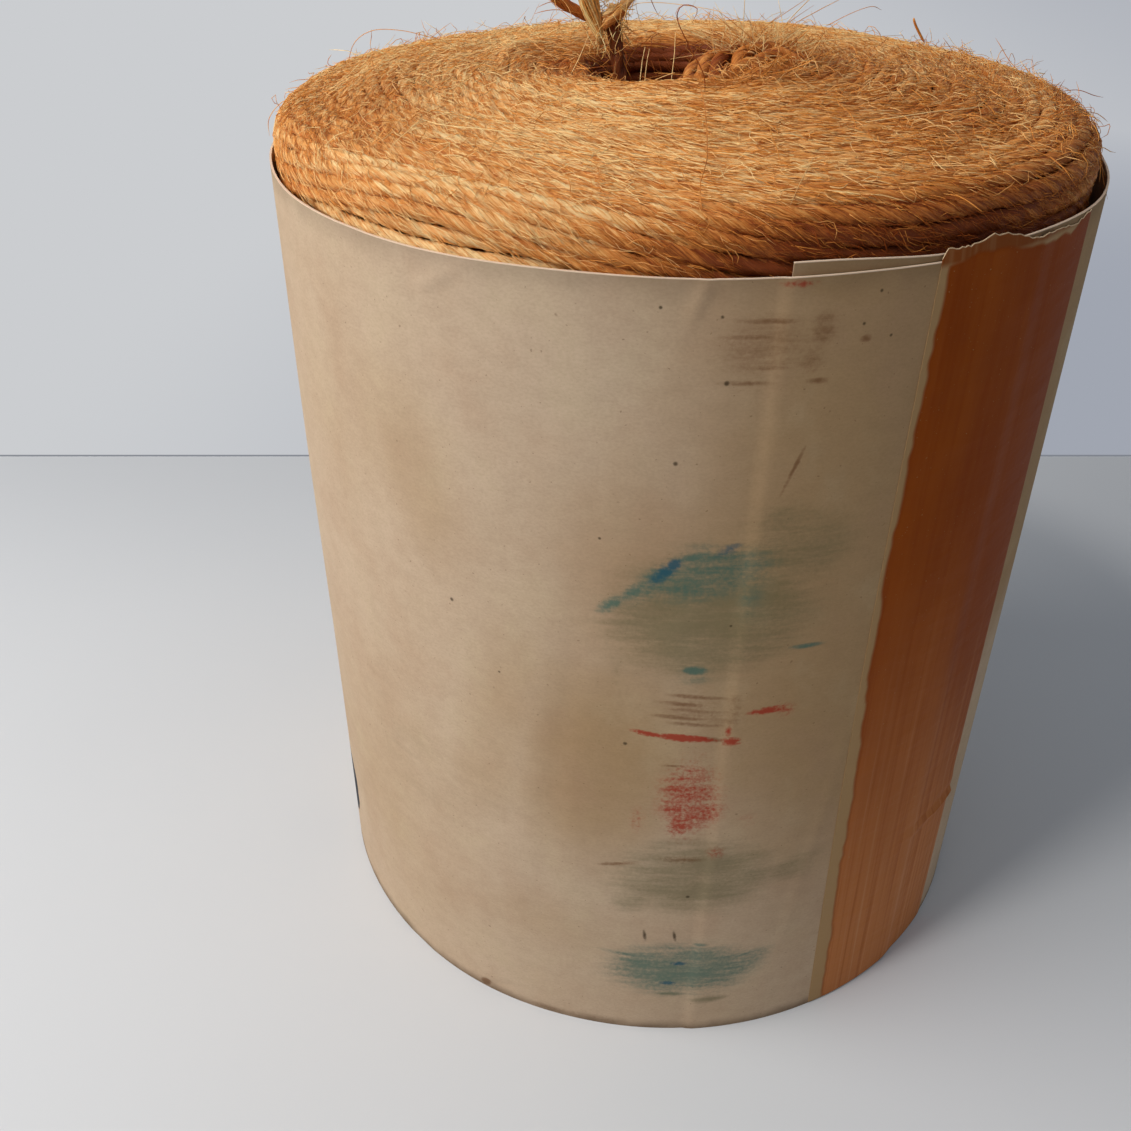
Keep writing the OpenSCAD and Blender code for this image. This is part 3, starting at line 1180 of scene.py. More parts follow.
@dataclass
class WoundBall:
    """The ball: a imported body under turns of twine, over the top, down the side and up the hole."""

    twine: Material
    dark_twine: Material
    packed: Material
    shape: BallShape = field(default_factory=BallShape)
    strand: Strand = field(default_factory=Strand)
    pitch: float = 3.05 * MM
    last_angle: float = 60.0
    tilted_turns: float = 16.0
    under_depth: float = 0.8 * MM
    slack_angle: float = -38.0
    slack_run: float = 5.0 * MM
    slack_in: float = 6.0 * MM
    slack_up: float = 2.2 * MM
    # The top layer hands over to the hole's layer this far below the middle of the lip's rounding
    hand_over: float = 5 * MM
    # How deep the crowns lie on average, and by how much the turns sink on the side of the pull
    crown_depth: float = 0.12 * MM
    sunk: float = 2.2 * MM
    pull_angle: float = -20.0
    # Height of the last turn against the rim, by angle in degrees: it crosses the rim aslant
    rim_lay: tuple[tuple[float, float], ...] = (
        (-180, -9.5),
        (-152, -1.5),
        (-125, 5.5),
        (-103, -1.5),
        (-83, -8.5),
        (-66, -13),
        (-40, -13.5),
        (120, -13),
    )

    # Turns that have slipped in over the hole: points in millimetres
    slipped: tuple[tuple[tuple[float, ...], ...], ...] = (
        ((-6, -20, 224), (-2, -12.5, 226), (-0.5, -5, 227), (3, 2, 227.5), (9, 8, 227), (15, 12.5, 225)),
        ((-4, -20, 227.5), (-0.5, -14, 229), (1, -7, 230), (4, -0.5, 231), (9.5, 4.5, 231), (18, 11, 229)),
        (
            *((0.5, -20.5, 229.5), (3, -14, 231.5), (4.5, -7.5, 232.5)),
            *((8, -2, 233), (13, 2, 233), (21, 7, 230.5)),
        ),
        ((5, -20, 231), (6, -13.5, 232.5), (8.5, -7.5, 234), (12, -4, 234), (17, -1, 233.5), (24, 3, 232)),
        (
            *((10, -19, 231.5), (11, -13, 233.5), (13, -8.5, 234.5)),
            *((17, -6, 235), (21, -5, 234.5), (27, -4, 233)),
        ),
        ((14, -18, 232), (15.5, -13.5, 233.5), (18.5, -11, 234.5), (22, -10.5, 234.5), (27, -12, 233)),
    )

    def __post_init__(self) -> None:
        """Prepares the walks and the unevenness that the windings share."""
        self.top_walk = self.shape.over(self.strand.radius)
        self.side_walk = self.shape.down(self.strand.radius)
        drop = self.shape.side_height - self.shape.foot
        self.rim_run = self.top_walk.length - drop + (self.shape.side_height - self.shape.rim)
        self.sway = Unevenness(0.5 * MM, 0.022, Seed.SWAY)
        self.swell = Unevenness(0.36 * MM, 0.014, Seed.SWELL)
        degrees = np.arange(-180, 180)
        lay = np.array(self.rim_lay)
        heights = np.interp(degrees, lay[:, 0], lay[:, 1], period=360)
        bell = np.exp(-((degrees / 5.0) ** 2) / 2)
        bell /= bell.sum()
        soft = np.real(np.fft.ifft(np.fft.fft(heights) * np.fft.fft(np.roll(bell, -180))))
        self.lay_table = (degrees, soft * MM)

    def rim_height(self, angle: Array) -> Array:
        """Height of the last turn against the rim, below zero where it is inside the sleeve."""
        return np.interp(signed(np.degrees(angle)), *self.lay_table, period=360)

    def pulled(self, angle: Array) -> Array:
        """Gives how near a place is to the side where the twine is pulled, 0 to 1."""
        return 0.5 - 0.5 * np.cos(angle - math.radians(self.pull_angle))

    def turn_height(self, turns_left: Array, angle: Array) -> Array:
        """Height of the top layer's turns above the rim, along the outline.

        Args:
            turns_left: How many turns are left to the last one.
            angle: Angles round the ball.

        Returns:
            Distances up along the outline from the sleeve's rim.
        """
        tilt = np.clip(1 - turns_left / self.tilted_turns, 0, 1)
        even = self.pitch * turns_left + tilt * self.rim_height(angle)
        calm = smooth_step(turns_left, 1.0, 6.0) * smooth_step(self.rim_run - even, 224 * MM, 236 * MM)
        return even + calm * self.sway.at(angle, even)

    def top_line(self, angle: Array) -> tuple[Array, Array, Array]:
        """Gives the line of the twine over the top.

        Args:
            angle: Running angles, up to the last one.

        Returns:
            Distances along the outline, turns left, and how far apart the turns lie.
        """
        left = (math.radians(self.last_angle) - angle) / TURN
        height = self.turn_height(left, angle)
        apart = self.turn_height(left + 0.5, angle) - self.turn_height(left - 0.5, angle)
        return self.rim_run - height, left, apart

    def even_angles(
        self, walk: Walk, place: Callable[[Array], Array], start: float, end: float, step: float
    ) -> Array:
        """Chooses angles so that a winding's rings lie evenly along it.

        Args:
            walk: The walk that it follows.
            place: Gives its distances along the walk for angles.
            start: First angle.
            end: Last angle.
            step: Distance between rings.

        Returns:
            The angles.
        """
        trial = np.linspace(start, end, int((end - start) / TURN * 240) + 2)
        run = run_of(self.shape.wind(walk, place(trial), trial, self.strand.radius)[0])
        return np.interp(np.linspace(0, run[-1], round(run[-1] / step) + 1), run, trial)

    def top_turns(self, rng: Chance) -> None:
        """Winds the outer layer over the top, from the hole to below the sleeve's rim."""
        most = (self.rim_run - (self.shape.lip_height - self.hand_over)) / self.pitch
        end = math.radians(self.last_angle)
        angle = self.even_angles(
            self.top_walk, lambda trial: self.top_line(trial)[0], end - TURN * most, end, 1.45 * MM
        )
        distance, left, apart = self.top_line(angle)
        free = smooth_step(left, 1.5, 5.0)
        lumps = (0.03 + 0.2 * free) * MM * drift(rng, len(angle), 14)
        swell = free * self.swell.at(angle, distance) + lumps
        distance = distance + 0.3 * free * MM * drift(rng, len(angle), 11)
        depth = self.strand.radius + self.crown_depth - swell + self.dish(angle, distance)
        centres, outward = self.shape.wind(self.top_walk, distance, angle, depth)
        centres = centres + self.slack(angle, distance)
        spread = np.clip(apart / (2.9 * MM), 0.85, 1.4)
        # The turns take the ball's painted light and shade.
        shade = self.painted_shading(angle, distance)
        piece = self.strand.sweep("top_turns_wound", centres, outward, rng, spread, shade=shade)
        dress(piece, Body.BALL, self.twine, "top_turns")

    def painted_shading(self, angle: Array, distance: Array) -> Array:
        """Gives the painted light and shade on the twine: paler at the front, darker at the far left, and
        painted shade on the side turned from the lamps, low by the rim, inside the hole and where the turns
        dip towards it.

        Args:
            angle: Angles round the ball.
            distance: Distances along the outline.

        Returns:
            How much paler the twine is, below zero where it is darker.
        """
        degrees = signed(np.degrees(angle))
        front = np.exp(-(((degrees + 108) / 40) ** 2))
        right = (0.5 + 0.5 * np.cos(angle - math.radians(-45))) ** 2
        low = smooth_step(distance, self.rim_run - 14 * MM, self.rim_run - 4 * MM)
        shaded = smooth_step(degrees, -112, -76) * (1 - 0.75 * smooth_step(degrees, -62, -30))
        shaded = shaded * (1 - smooth_step(degrees, 90, 170))
        outer = smooth_step(distance, self.rim_run - 45 * MM, self.rim_run - 25 * MM)
        far_left = np.exp(-((signed(degrees + 158) / 24) ** 2)) * outer
        lip = self.shape.lip_height
        near = 0.5 - 0.5 * np.sin(angle)
        inside = 1 - smooth_step(distance - 7 * MM * (1 - near), lip - 3 * MM, lip + 2 * MM)
        dip = self.pulled(angle) * (1 - smooth_step(distance, lip + 8 * MM, lip + 26 * MM))
        # Painted light and shade: paler at the front and darker at the far left, with painted shade on the
        # side turned from the lamps, low by the rim on the front's right, inside the hole and in the dip
        # towards it.
        light_and_shade = 0.07 + 0.14 * front - 0.31 * right - 0.26 * far_left
        return light_and_shade - 0.85 * low * shaded - 0.9 * inside - 0.4 * dip

    def lie(self, angle: Array, distance: Array) -> Array:
        """Gives how deep the turns' crowns lie under the even surface."""
        free = 1 - smooth_step(distance, self.rim_run - 12 * MM, self.rim_run - 3 * MM)
        return self.dish(angle, distance) + free * (self.crown_depth - self.swell.at(angle, distance))

    def dish(self, angle: Array, distance: Array) -> Array:
        """Gives how far the turns have sunk round the hole, on the side where the twine is pulled."""
        lip = self.shape.lip_height
        return self.sunk * self.pulled(angle) * (1 - smooth_step(distance, lip + 6 * MM, lip + 24 * MM))

    def slack(self, angle: Array, distance: Array) -> Array:
        """Eases the innermost turns in over the hole, where pulling the twine has slackened them.

        Args:
            angle: Angles round the ball.
            distance: Distances along the outline.

        Returns:
            How far each point moves.
        """
        around = np.exp(-((signed(np.degrees(angle) - self.slack_angle) / 30.0) ** 2))
        near = np.exp(-(((distance - self.shape.lip_height - self.slack_run) / (4.2 * MM)) ** 2))
        inward = self.slack_in * around * near
        rise = self.slack_up * around * near
        return np.stack([-inward * np.cos(angle), -inward * np.sin(angle), rise], axis=-1)

    def slack_turns(self) -> None:
        """Lays the innermost turns that have slipped in over the hole and stand up there."""
        for i, points in enumerate(self.slipped):
            line = smooth_route(np.array(points) * MM, 1.3 * MM)
            outward = np.tile([-0.25, -0.15, 1.0], (len(line), 1))
            waves = [drift(Seed.SLACK_LINE.start(3 * i + k), len(line), 6) for k in range(3)]
            line = line + 0.25 * MM * np.stack(waves, 1)
            shade = -0.7 + 0.1 * (i % 3)
            rng = Seed.SLACK_STRAND.start(i)
            strand = self.strand.sweep(f"slack_turn_{i + 1}", line, outward, rng, 1.1, shade=shade)
            dress(strand, Body.BALL, self.twine, "top_turns")

    def bore_turns(self, rng: Chance) -> None:
        """Winds the wall of the centre hole."""
        top = self.shape.lip_height - self.hand_over
        turns = top / self.pitch - 0.6
        end = math.radians(self.last_angle) - TURN * (self.rim_run - top) / self.pitch

        def place(angle: Array) -> Array:
            """Gives the winding's distances along the outline."""
            return top - self.pitch * (end - angle) / TURN

        angle = self.even_angles(self.top_walk, place, end - TURN * turns, end, 2.4 * MM)
        depth = self.strand.radius + 0.15 * MM * (1 + drift(rng, len(angle), 12))
        centres, outward = self.shape.wind(self.top_walk, place(angle), angle, depth)
        piece = self.strand.sweep("bore_turns_wound", centres, outward, rng, 1.04, sides=8)
        # The hole's wall takes the twine painted dark: painted shade inside the hole.
        dress(piece, Body.BALL, self.dark_twine, "bore_turns")

    def side_place(self, angle: Array) -> Array:
        """Gives the side winding's distances down the outline."""
        return self.pitch * angle / TURN

    def side_winding(
        self, name: str, span: tuple[float, float], step: float, sides: int, rng: Chance, node: str
    ) -> None:
        """Winds a stretch of the layer that runs down the side and in under the ball.

        Args:
            name: The piece's name.
            span: Distances along the walk down the side.
            step: Distance between rings.
            sides: Faces round the strand.
            rng: Source of chance.
            node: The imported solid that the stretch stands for.
        """
        start, end = (TURN * s / self.pitch for s in span)
        angle = self.even_angles(self.side_walk, self.side_place, start, end, step)
        distance = self.side_place(angle)
        height = self.side_walk.at(distance, 0.0)[1] - self.shape.rim
        upper = distance < 0.5 * self.side_walk.length
        below = height - self.rim_height(angle) + 3.4 * MM
        sunk = self.under_depth * smooth_step(below, 0.0, 3 * MM) * upper
        depth = self.strand.radius + 0.06 * MM * (1.2 + drift(rng, len(angle), 14)) + sunk
        centres, outward = self.shape.wind(self.side_walk, distance, angle, depth)
        # The side turns take the ball's painted light and shade, as at the rim.
        shade = self.painted_shading(angle, np.full(len(angle), self.rim_run))
        piece = self.strand.sweep(name, centres, outward, rng, 1.06, sides, shade)
        dress(piece, Body.BALL, self.twine, node)

    def packed_body(self) -> None:
        """Shapes the brown body under the strands: a drum with a centre hole and a raised top."""
        inner, outer = self.shape.hole + 2.3 * MM, self.shape.radius - 5.0 * MM
        foot, top = 2.4 * MM, self.shape.side_height - 5.2 * MM
        middle = (*self.shape.lean, (foot + top) / 2)
        select_none()
        bpy.ops.mesh.primitive_cylinder_add(
            vertices=96, radius=outer, depth=top - foot, location=middle, end_fill_type="NGON"
        )
        piece = bpy.context.active_object
        piece.name = piece.data.name = "packed_body"
        bpy.ops.object.mode_set(mode="EDIT")
        bpy.ops.mesh.select_mode(type="FACE")
        bpy.ops.mesh.select_all(action="DESELECT")
        bpy.ops.object.mode_set(mode="OBJECT")
        for face in piece.data.polygons:
            face.select = abs(face.normal.z) > 0.9
        bpy.ops.object.mode_set(mode="EDIT")
        bpy.ops.mesh.inset(thickness=outer - inner)
        bpy.ops.mesh.delete(type="FACE")
        bpy.ops.mesh.select_mode(type="EDGE")
        bpy.ops.mesh.select_all(action="SELECT")
        bpy.ops.mesh.select_non_manifold(extend=False)
        bpy.ops.mesh.bridge_edge_loops()
        bpy.ops.mesh.select_all(action="DESELECT")
        bpy.ops.object.mode_set(mode="OBJECT")
        place_in_mesh(piece)
        for edge in piece.data.edges:
            ends = [piece.data.vertices[i].co for i in edge.vertices]
            reach = [math.hypot(p.x - self.shape.lean[0], p.y - self.shape.lean[1]) for p in ends]
            edge.select = all(p.z > top - MM for p in ends) and max(reach) < inner + MM
        bpy.ops.object.mode_set(mode="EDIT")
        bpy.ops.transform.translate(value=(0, 0, 10.2 * MM))
        bpy.ops.object.mode_set(mode="OBJECT")
        dress(piece, Body.BALL, self.packed, "wound_core")

    def build(self) -> None:
        """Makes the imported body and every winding."""
        self.packed_body()
        self.top_turns(Seed.TOP_TURNS.start())
        self.bore_turns(Seed.BORE_TURNS.start())
        self.slack_turns()
        whole = self.side_walk.length
        under = whole - 100 * MM
        cuts = (0.0, 36 * MM, 0.5 * (36 * MM + under), under, whole - 1.4 * MM)
        plan = (
            ("shoulder_turns_wound", 1.9 * MM, 10, "side_turns"),
            ("side_turns_wound_upper", 3.4 * MM, 8, "side_turns"),
            ("side_turns_wound_lower", 3.4 * MM, 8, "side_turns"),
            ("under_turns_wound", 3.2 * MM, 8, "wound_core"),
        )
        for i, (name, step, sides, node) in enumerate(plan):
            span = (cuts[i], cuts[i + 1])
            self.side_winding(name, span, step, sides, Seed.SIDE_TURNS.start(i), node)


def place_in_mesh(piece: Object) -> None:
    """Moves an object's place into its mesh, so that the object sits at the origin."""
    select_only(piece)
    bpy.ops.object.transform_apply(location=True, rotation=True, scale=True)


# --------------------------------------------------------------- loose fibres


@dataclass(frozen=True)
class FibrePatch:
    """A patch of loose fibres, and how they lie on the twine."""

    count: int
    run: tuple[float, float]
    angles: tuple[float, float] = (-180.0, 180.0)
    length: tuple[float, ...] = mm(5, 15)
    heading: tuple[float, float] = (20.0, 24.0)
    lift: tuple[float, ...] = mm(0.15, 0.9)
    free: float = 0.4
    curl: float = 0.9
    thickness: tuple[float, ...] = mm(0.055, 0.1)
    tone: tuple[float, float] = (0.35, 1.0)
    rings: int = 6
    # How deep the fibres' roots sit in the twine, and the least radius that bends them round the ball
    rooted: float = 0.12 * MM
    least_radius: float = 8 * MM

    def grow(self, ball: WoundBall, walk: Walk, rng: Chance) -> tuple[Array, ...]:
        """Grows the patch's fibres over the ball.

        Args:
            ball: The ball that they lie on.
            walk: The walk that the runs are measured on.
            rng: Source of chance.

        Returns:
            Paths, outward directions, thicknesses and tones.
        """
        trial = rng.uniform(*self.run, 4 * self.count)
        radii = walk.at(trial, 0.0)[0]
        trial = trial[rng.uniform(0, radii.max(), len(trial)) < radii][: self.count]
        while len(trial) < self.count:
            trial = np.concatenate([trial, trial])[: self.count]
        count = len(trial)
        angle = np.radians(rng.uniform(*self.angles, count))
        length = rng.uniform(*self.length, count)
        heading = np.radians(rng.normal(*self.heading, count))
        heading = heading + math.pi * (rng.uniform(0, 1, count) < 0.5)
        curl = rng.normal(0, self.curl, count)
        wave = rng.normal(0, 0.5 * self.curl, count)
        share = np.linspace(0, 1, self.rings)[None, :]
        bend = curl[:, None] * (share - 0.5) + wave[:, None] * np.sin(TURN * share + curl[:, None])
        course = heading[:, None] + bend
        step = length[:, None] / (self.rings - 1)
        forward = np.cumsum(np.cos(course) * step, axis=1)
        outward_way = np.cumsum(np.sin(course) * step, axis=1)
        lift = rng.uniform(*self.lift, count)[:, None] * rng.uniform(0.3, 1.0, count)[:, None] * 1.4
        loose = (rng.uniform(0, 1, count) < self.free)[:, None]
        rise = np.where(loose, share**1.4 * 1.6, np.sin(math.pi * share)) * lift - self.rooted
        distance = np.clip(trial[:, None] + outward_way, walk.run[0], walk.run[-1])
        reach = np.maximum(walk.at(trial, 0.0)[0], self.least_radius)[:, None]
        place = angle[:, None] + forward / reach
        points, outward = ball.shape.wind(walk, distance, place, ball.lie(place, distance) - rise)
        # The fibres take the ball's painted light and shade in their tones.
        tones = rng.uniform(*self.tone, count) + 0.7 * ball.painted_shading(angle, trial)
        return points, outward, rng.uniform(*self.thickness, count), tones


@dataclass(frozen=True)
class LongHair:
    """One long loose hair: points in millimetres."""

    points: tuple[tuple[float, float, float], ...]
    tone: float
    thickness: float = 0.1 * MM

    def path(self, rings: int) -> Array:
        """Gives a number of points along the hair, in metres."""
        return even_points(smooth_route(np.array(self.points) * MM, 0.2 * MM), rings)


@dataclass
class LooseFibres:
    """All the fibres that stand off the twine."""

    finish: Material
    ball: WoundBall
    hair_points: int = 26
    hairs: tuple[LongHair, ...] = (
        # The curly dark hair in front of the hole
        LongHair(
            (
                *((1.5, -34, 231.5), (1, -33, 235), (-2, -33, 240), (-5, -33, 245.5)),
                *((-4, -32, 248), (-1, -33, 247.5), (-2, -34, 245)),
            ),
            0.05,
            0.13 * MM,
        ),
        # Long hairs that lie over the front of the dome
        LongHair(
            ((0, -36, 233.5), (-0.5, -53, 233), (-2.5, -80, 230.5), (-4.5, -90, 226.5), (-2, -97, 214.5)),
            0.3,
            0.12 * MM,
        ),
        LongHair(((17.5, -76, 229), (14.5, -84, 228), (11.5, -90.5, 225), (9, -94.5, 219.5)), 0.8),
        # Stiff hairs across the hole
        LongHair(((-4, -18, 240.5), (-4, -18, 236), (-4.5, -18.5, 230)), 0.9),
        LongHair(((-23, -18, 240), (-25, -18.5, 235.5), (-27, -19.5, 232)), 0.85),
        LongHair(((-10.5, -17.5, 237.5), (-11, -18, 235), (-11.5, -18.5, 230)), 0.95),
        LongHair(((-9.5, -17, 237), (-10, -18, 234.5), (-10.5, -18.5, 229)), 0.9),
        # The straw chip and the long stray hairs near the edge
        LongHair(((64.5, 44, 233.5), (66, 45, 231), (69, 46, 227)), 0.55, 0.4 * MM),
        LongHair(
            (
                *((-83.5, 20, 225), (-81, 20, 231.5), (-76, 20, 234.5)),
                *((-69, 20, 234.5), (-62, 20, 233), (-52, 20, 230.5)),
            ),
            0.55,
        ),
        LongHair(((-89.5, -10, 224.5), (-93.5, -11, 224.5), (-97, -12, 221), (-97.5, -12, 217)), 0.6),
        LongHair(((89, 2, 223.5), (94.5, 1, 224.5), (98.5, 0, 223.5), (101, 0, 223)), 0.1),
        LongHair(((86, -28, 221.5), (90.5, -30, 216), (93, -30, 212), (92.5, -30, 209.5)), 0.6),
        LongHair(((46, 66, 228), (52, 64, 231.5), (58, 66, 233), (62, 70, 231.5)), 0.4),
        LongHair(((-30, -70, 230.5), (-42, -66, 231.5), (-52, -58, 230.5), (-58, -50, 230)), 0.95),
        LongHair(((30, -60, 231.5), (44, -56, 232.5), (55, -46, 231), (61, -36, 230.5)), 0.9),
        LongHair(((-20, 60, 231.5), (-6, 66, 234), (10, 64, 233), (20, 58, 231.5)), 0.8),
    )

    def patches(self) -> dict[str, tuple[FibrePatch, ...]]:
        """Gives the patches of each piece."""
        lip, rim = self.ball.shape.lip_height, self.ball.rim_run
        edge = rim - 16 * MM
        mat = {"length": mm(3, 7), "heading": (22, 10), "lift": mm(0.04, 0.22), "free": 0.05}
        mat |= {"curl": 0.35, "thickness": mm(0.05, 0.095), "rings": 4}
        flat = {"length": mm(3, 9), "lift": mm(0.1, 0.5), "free": 0.25}
        stray = {"length": mm(4, 11), "curl": 1.6, "free": 0.8, "heading": (30, 50)}
        right = {"angles": (-75, 45), "length": mm(4, 10), "free": 0.7, "curl": 1.6}
        left = {"angles": (110, 205), "length": mm(3, 7), "free": 0.5, "curl": 1.6}
        near = {"angles": (-62, 40), "length": mm(3, 8), "curl": 1.8}
        low = {"length": mm(3, 9), "lift": mm(0.1, 0.6), "free": 0.3}
        calm = {"length": mm(3, 10), "lift": mm(0.1, 0.5), "free": 0.2}
        return {
            "matted_fibres_inner": (FibrePatch(8600, (lip + 4 * MM, edge - 14 * MM), **mat),),
            "matted_fibres_outer": (FibrePatch(8600, (edge - 14 * MM, rim - 1 * MM), **mat),),
            "loose_fibres_inner": (
                FibrePatch(700, (lip + 3 * MM, lip + 42 * MM), **low, heading=(15, 42)),
                FibrePatch(220, (lip + 2 * MM, lip + 34 * MM), length=mm(4, 11), lift=mm(0.5, 2), curl=1.7),
                FibrePatch(170, (lip - 2 * MM, lip + 7 * MM), lift=mm(0.6, 2.6), heading=(60, 50), free=0.9),
                FibrePatch(420, (lip - 3 * MM, lip + 14 * MM), **right, lift=mm(1.2, 4.2), heading=(40, 60)),
            ),
            "loose_fibres_middle": (
                FibrePatch(700, (lip + 38 * MM, edge - 6 * MM), **calm, heading=(18, 34)),
                FibrePatch(520, (lip + 20 * MM, edge + 4 * MM), **left, lift=mm(0.3, 1.2), heading=(30, 60)),
                FibrePatch(320, (lip + 30 * MM, edge), length=mm(5, 15), lift=mm(0.5, 2.4), curl=1.6),
            ),
            "loose_fibres_outer": (
                FibrePatch(420, (edge - 14 * MM, edge + 4 * MM), **flat),
                FibrePatch(260, (edge, rim - 3 * MM), length=mm(3, 9), lift=mm(0.05, 0.4), heading=(24, 14)),
                FibrePatch(300, (edge - 12 * MM, rim - 8 * MM), **stray, lift=mm(0.6, 3.2)),
                FibrePatch(260, (edge - 26 * MM, rim - 9 * MM), **near, lift=mm(0.3, 1.5), heading=(60, 60)),
            ),
        }

    def build(self) -> None:
        """Makes the fibres over the top, in the hole and on the side, and the long hairs."""
        for row, (name, patches) in enumerate(self.patches().items()):
            grown = [
                patch.grow(self.ball, self.ball.top_walk, Seed.FIBRES.start(10 * row + i))
                for i, patch in enumerate(patches)
            ]
            parts = (np.concatenate(part) for part in zip(*grown))
            self.finish_piece(fibre_object(name, *parts), "top_turns")
        self.side_fibres(self.ball.shape, self.ball.top_walk)
        self.tuft()
        self.long_hairs()

    def tuft(self) -> None:
        """Stands the golden tuft up from the slack turns beside the hole."""
        rng = Seed.TUFT.start()
        count, rings = 260, 8
        around = rng.uniform(0, TURN, count)
        out = np.sqrt(rng.uniform(0, 1, count))
        x, y = 16 + 9 * out * np.cos(around), -5 + 5 * out * np.sin(around)
        root = np.column_stack([x, y, rng.uniform(231.5, 233.5, count)])
        lean = [rng.normal(0, spread, count) for spread in (0.5, 0.4)]
        way = np.column_stack([*lean, rng.uniform(0.25, 1.0, count)])
        length = rng.uniform(2.5, 9, count)[:, None, None]
        bend = rng.normal(0, 1.0, (count, 3)) * [1.2, 0.9, 0.6]
        share = np.linspace(0, 1, rings)[None, :, None]
        paths = root[:, None] + length * (share * unit(way)[:, None] + share**2 * 0.8 * bend[:, None])
        paths[..., 2] = np.maximum(paths[..., 2], 232.0 - 0.05 * np.abs(paths[..., 1]))
        outward = np.broadcast_to([0.0, -1.0, 0.3], paths.shape)
        thickness = rng.uniform(0.07, 0.12, count) * MM
        tones = rng.uniform(0.4, 1.1, count)
        self.finish_piece(fibre_object("fibre_tuft", paths * MM, outward, thickness, tones), "top_turns")

    def side_fibres(self, shape: BallShape, walk: Walk) -> None:
        """Makes the short fibres inside the sleeve and inside the hole.

        Args:
            shape: The ball's outline.
            walk: The walk over the top and down the side.
        """
        below = self.ball.rim_run + 4 * MM
        flat = {"heading": (24, 12), "lift": mm(0.02, 0.14), "free": 0.0, "curl": 0.5, "rings": 5}
        side = FibrePatch(3200, (below, walk.length - 2 * MM), length=mm(4, 11), **flat)
        paths, outward, thickness, tones = side.grow(self.ball, walk, Seed.SIDE_FIBRES.start())
        self.finish_piece(fibre_object("side_fibres", paths, outward, 0.8 * thickness, tones), "side_turns")
        run = (4 * MM, shape.lip_height - 4 * MM)
        hole = FibrePatch(700, run, lift=mm(0.3, 2.2), heading=(20, 40))
        paths, outward, thickness, tones = hole.grow(self.ball, walk, Seed.HOLE_FIBRES.start())
        self.finish_piece(fibre_object("hole_fibres", paths, outward, thickness, tones), "bore_turns")

    def long_hairs(self) -> None:
        """Makes the few long hairs that stray over the top."""
        paths = np.stack([hair.path(self.hair_points) for hair in self.hairs])
        piece = fibre_object(
            "long_hairs",
            paths,
            np.broadcast_to([0.12, 0.31, 0.94], paths.shape),
            np.array([hair.thickness for hair in self.hairs]),
            np.array([hair.tone for hair in self.hairs]),
        )
        self.finish_piece(piece, "top_turns")

    def finish_piece(self, piece: Object, node: str) -> None:
        """Dresses a piece of fibres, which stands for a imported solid's surface."""
        dress(piece, Body.BALL, self.finish, node)


# --------------------------------------------------------------- paper sleeve


@dataclass(frozen=True)
class Smudge:
    """A rubbed mark, stain or veil of painted shade on the paper: place in degrees and millimetres, size in
    millimetres.
    """

    pigment: Pigment
    angle: float
    height: float
    length: float
    width: float
    tilt: float = 0.0
    load: float = 1.0
    soft: bool = False


def veil(
    pigment: Pigment, angle: float, height: float, length: float, width: float, tilt: float, load: float
) -> Smudge:
    """Gives a mark that fades out softly."""
    return Smudge(pigment, angle, height, length, width, tilt, load, True)


def dot(angle: float, height: float, size: float, load: float) -> Smudge:
    """Gives a dark speck."""
    return Smudge(Pigment.SPECK, angle, height, size, size, 0.0, load)


@dataclass(frozen=True)
class Crease:
    """A soft fold in the paper: place in degrees and millimetres, size in millimetres."""

    angle: float
    height: float
    length: float
    tilt: float
    width: float
    depth: float


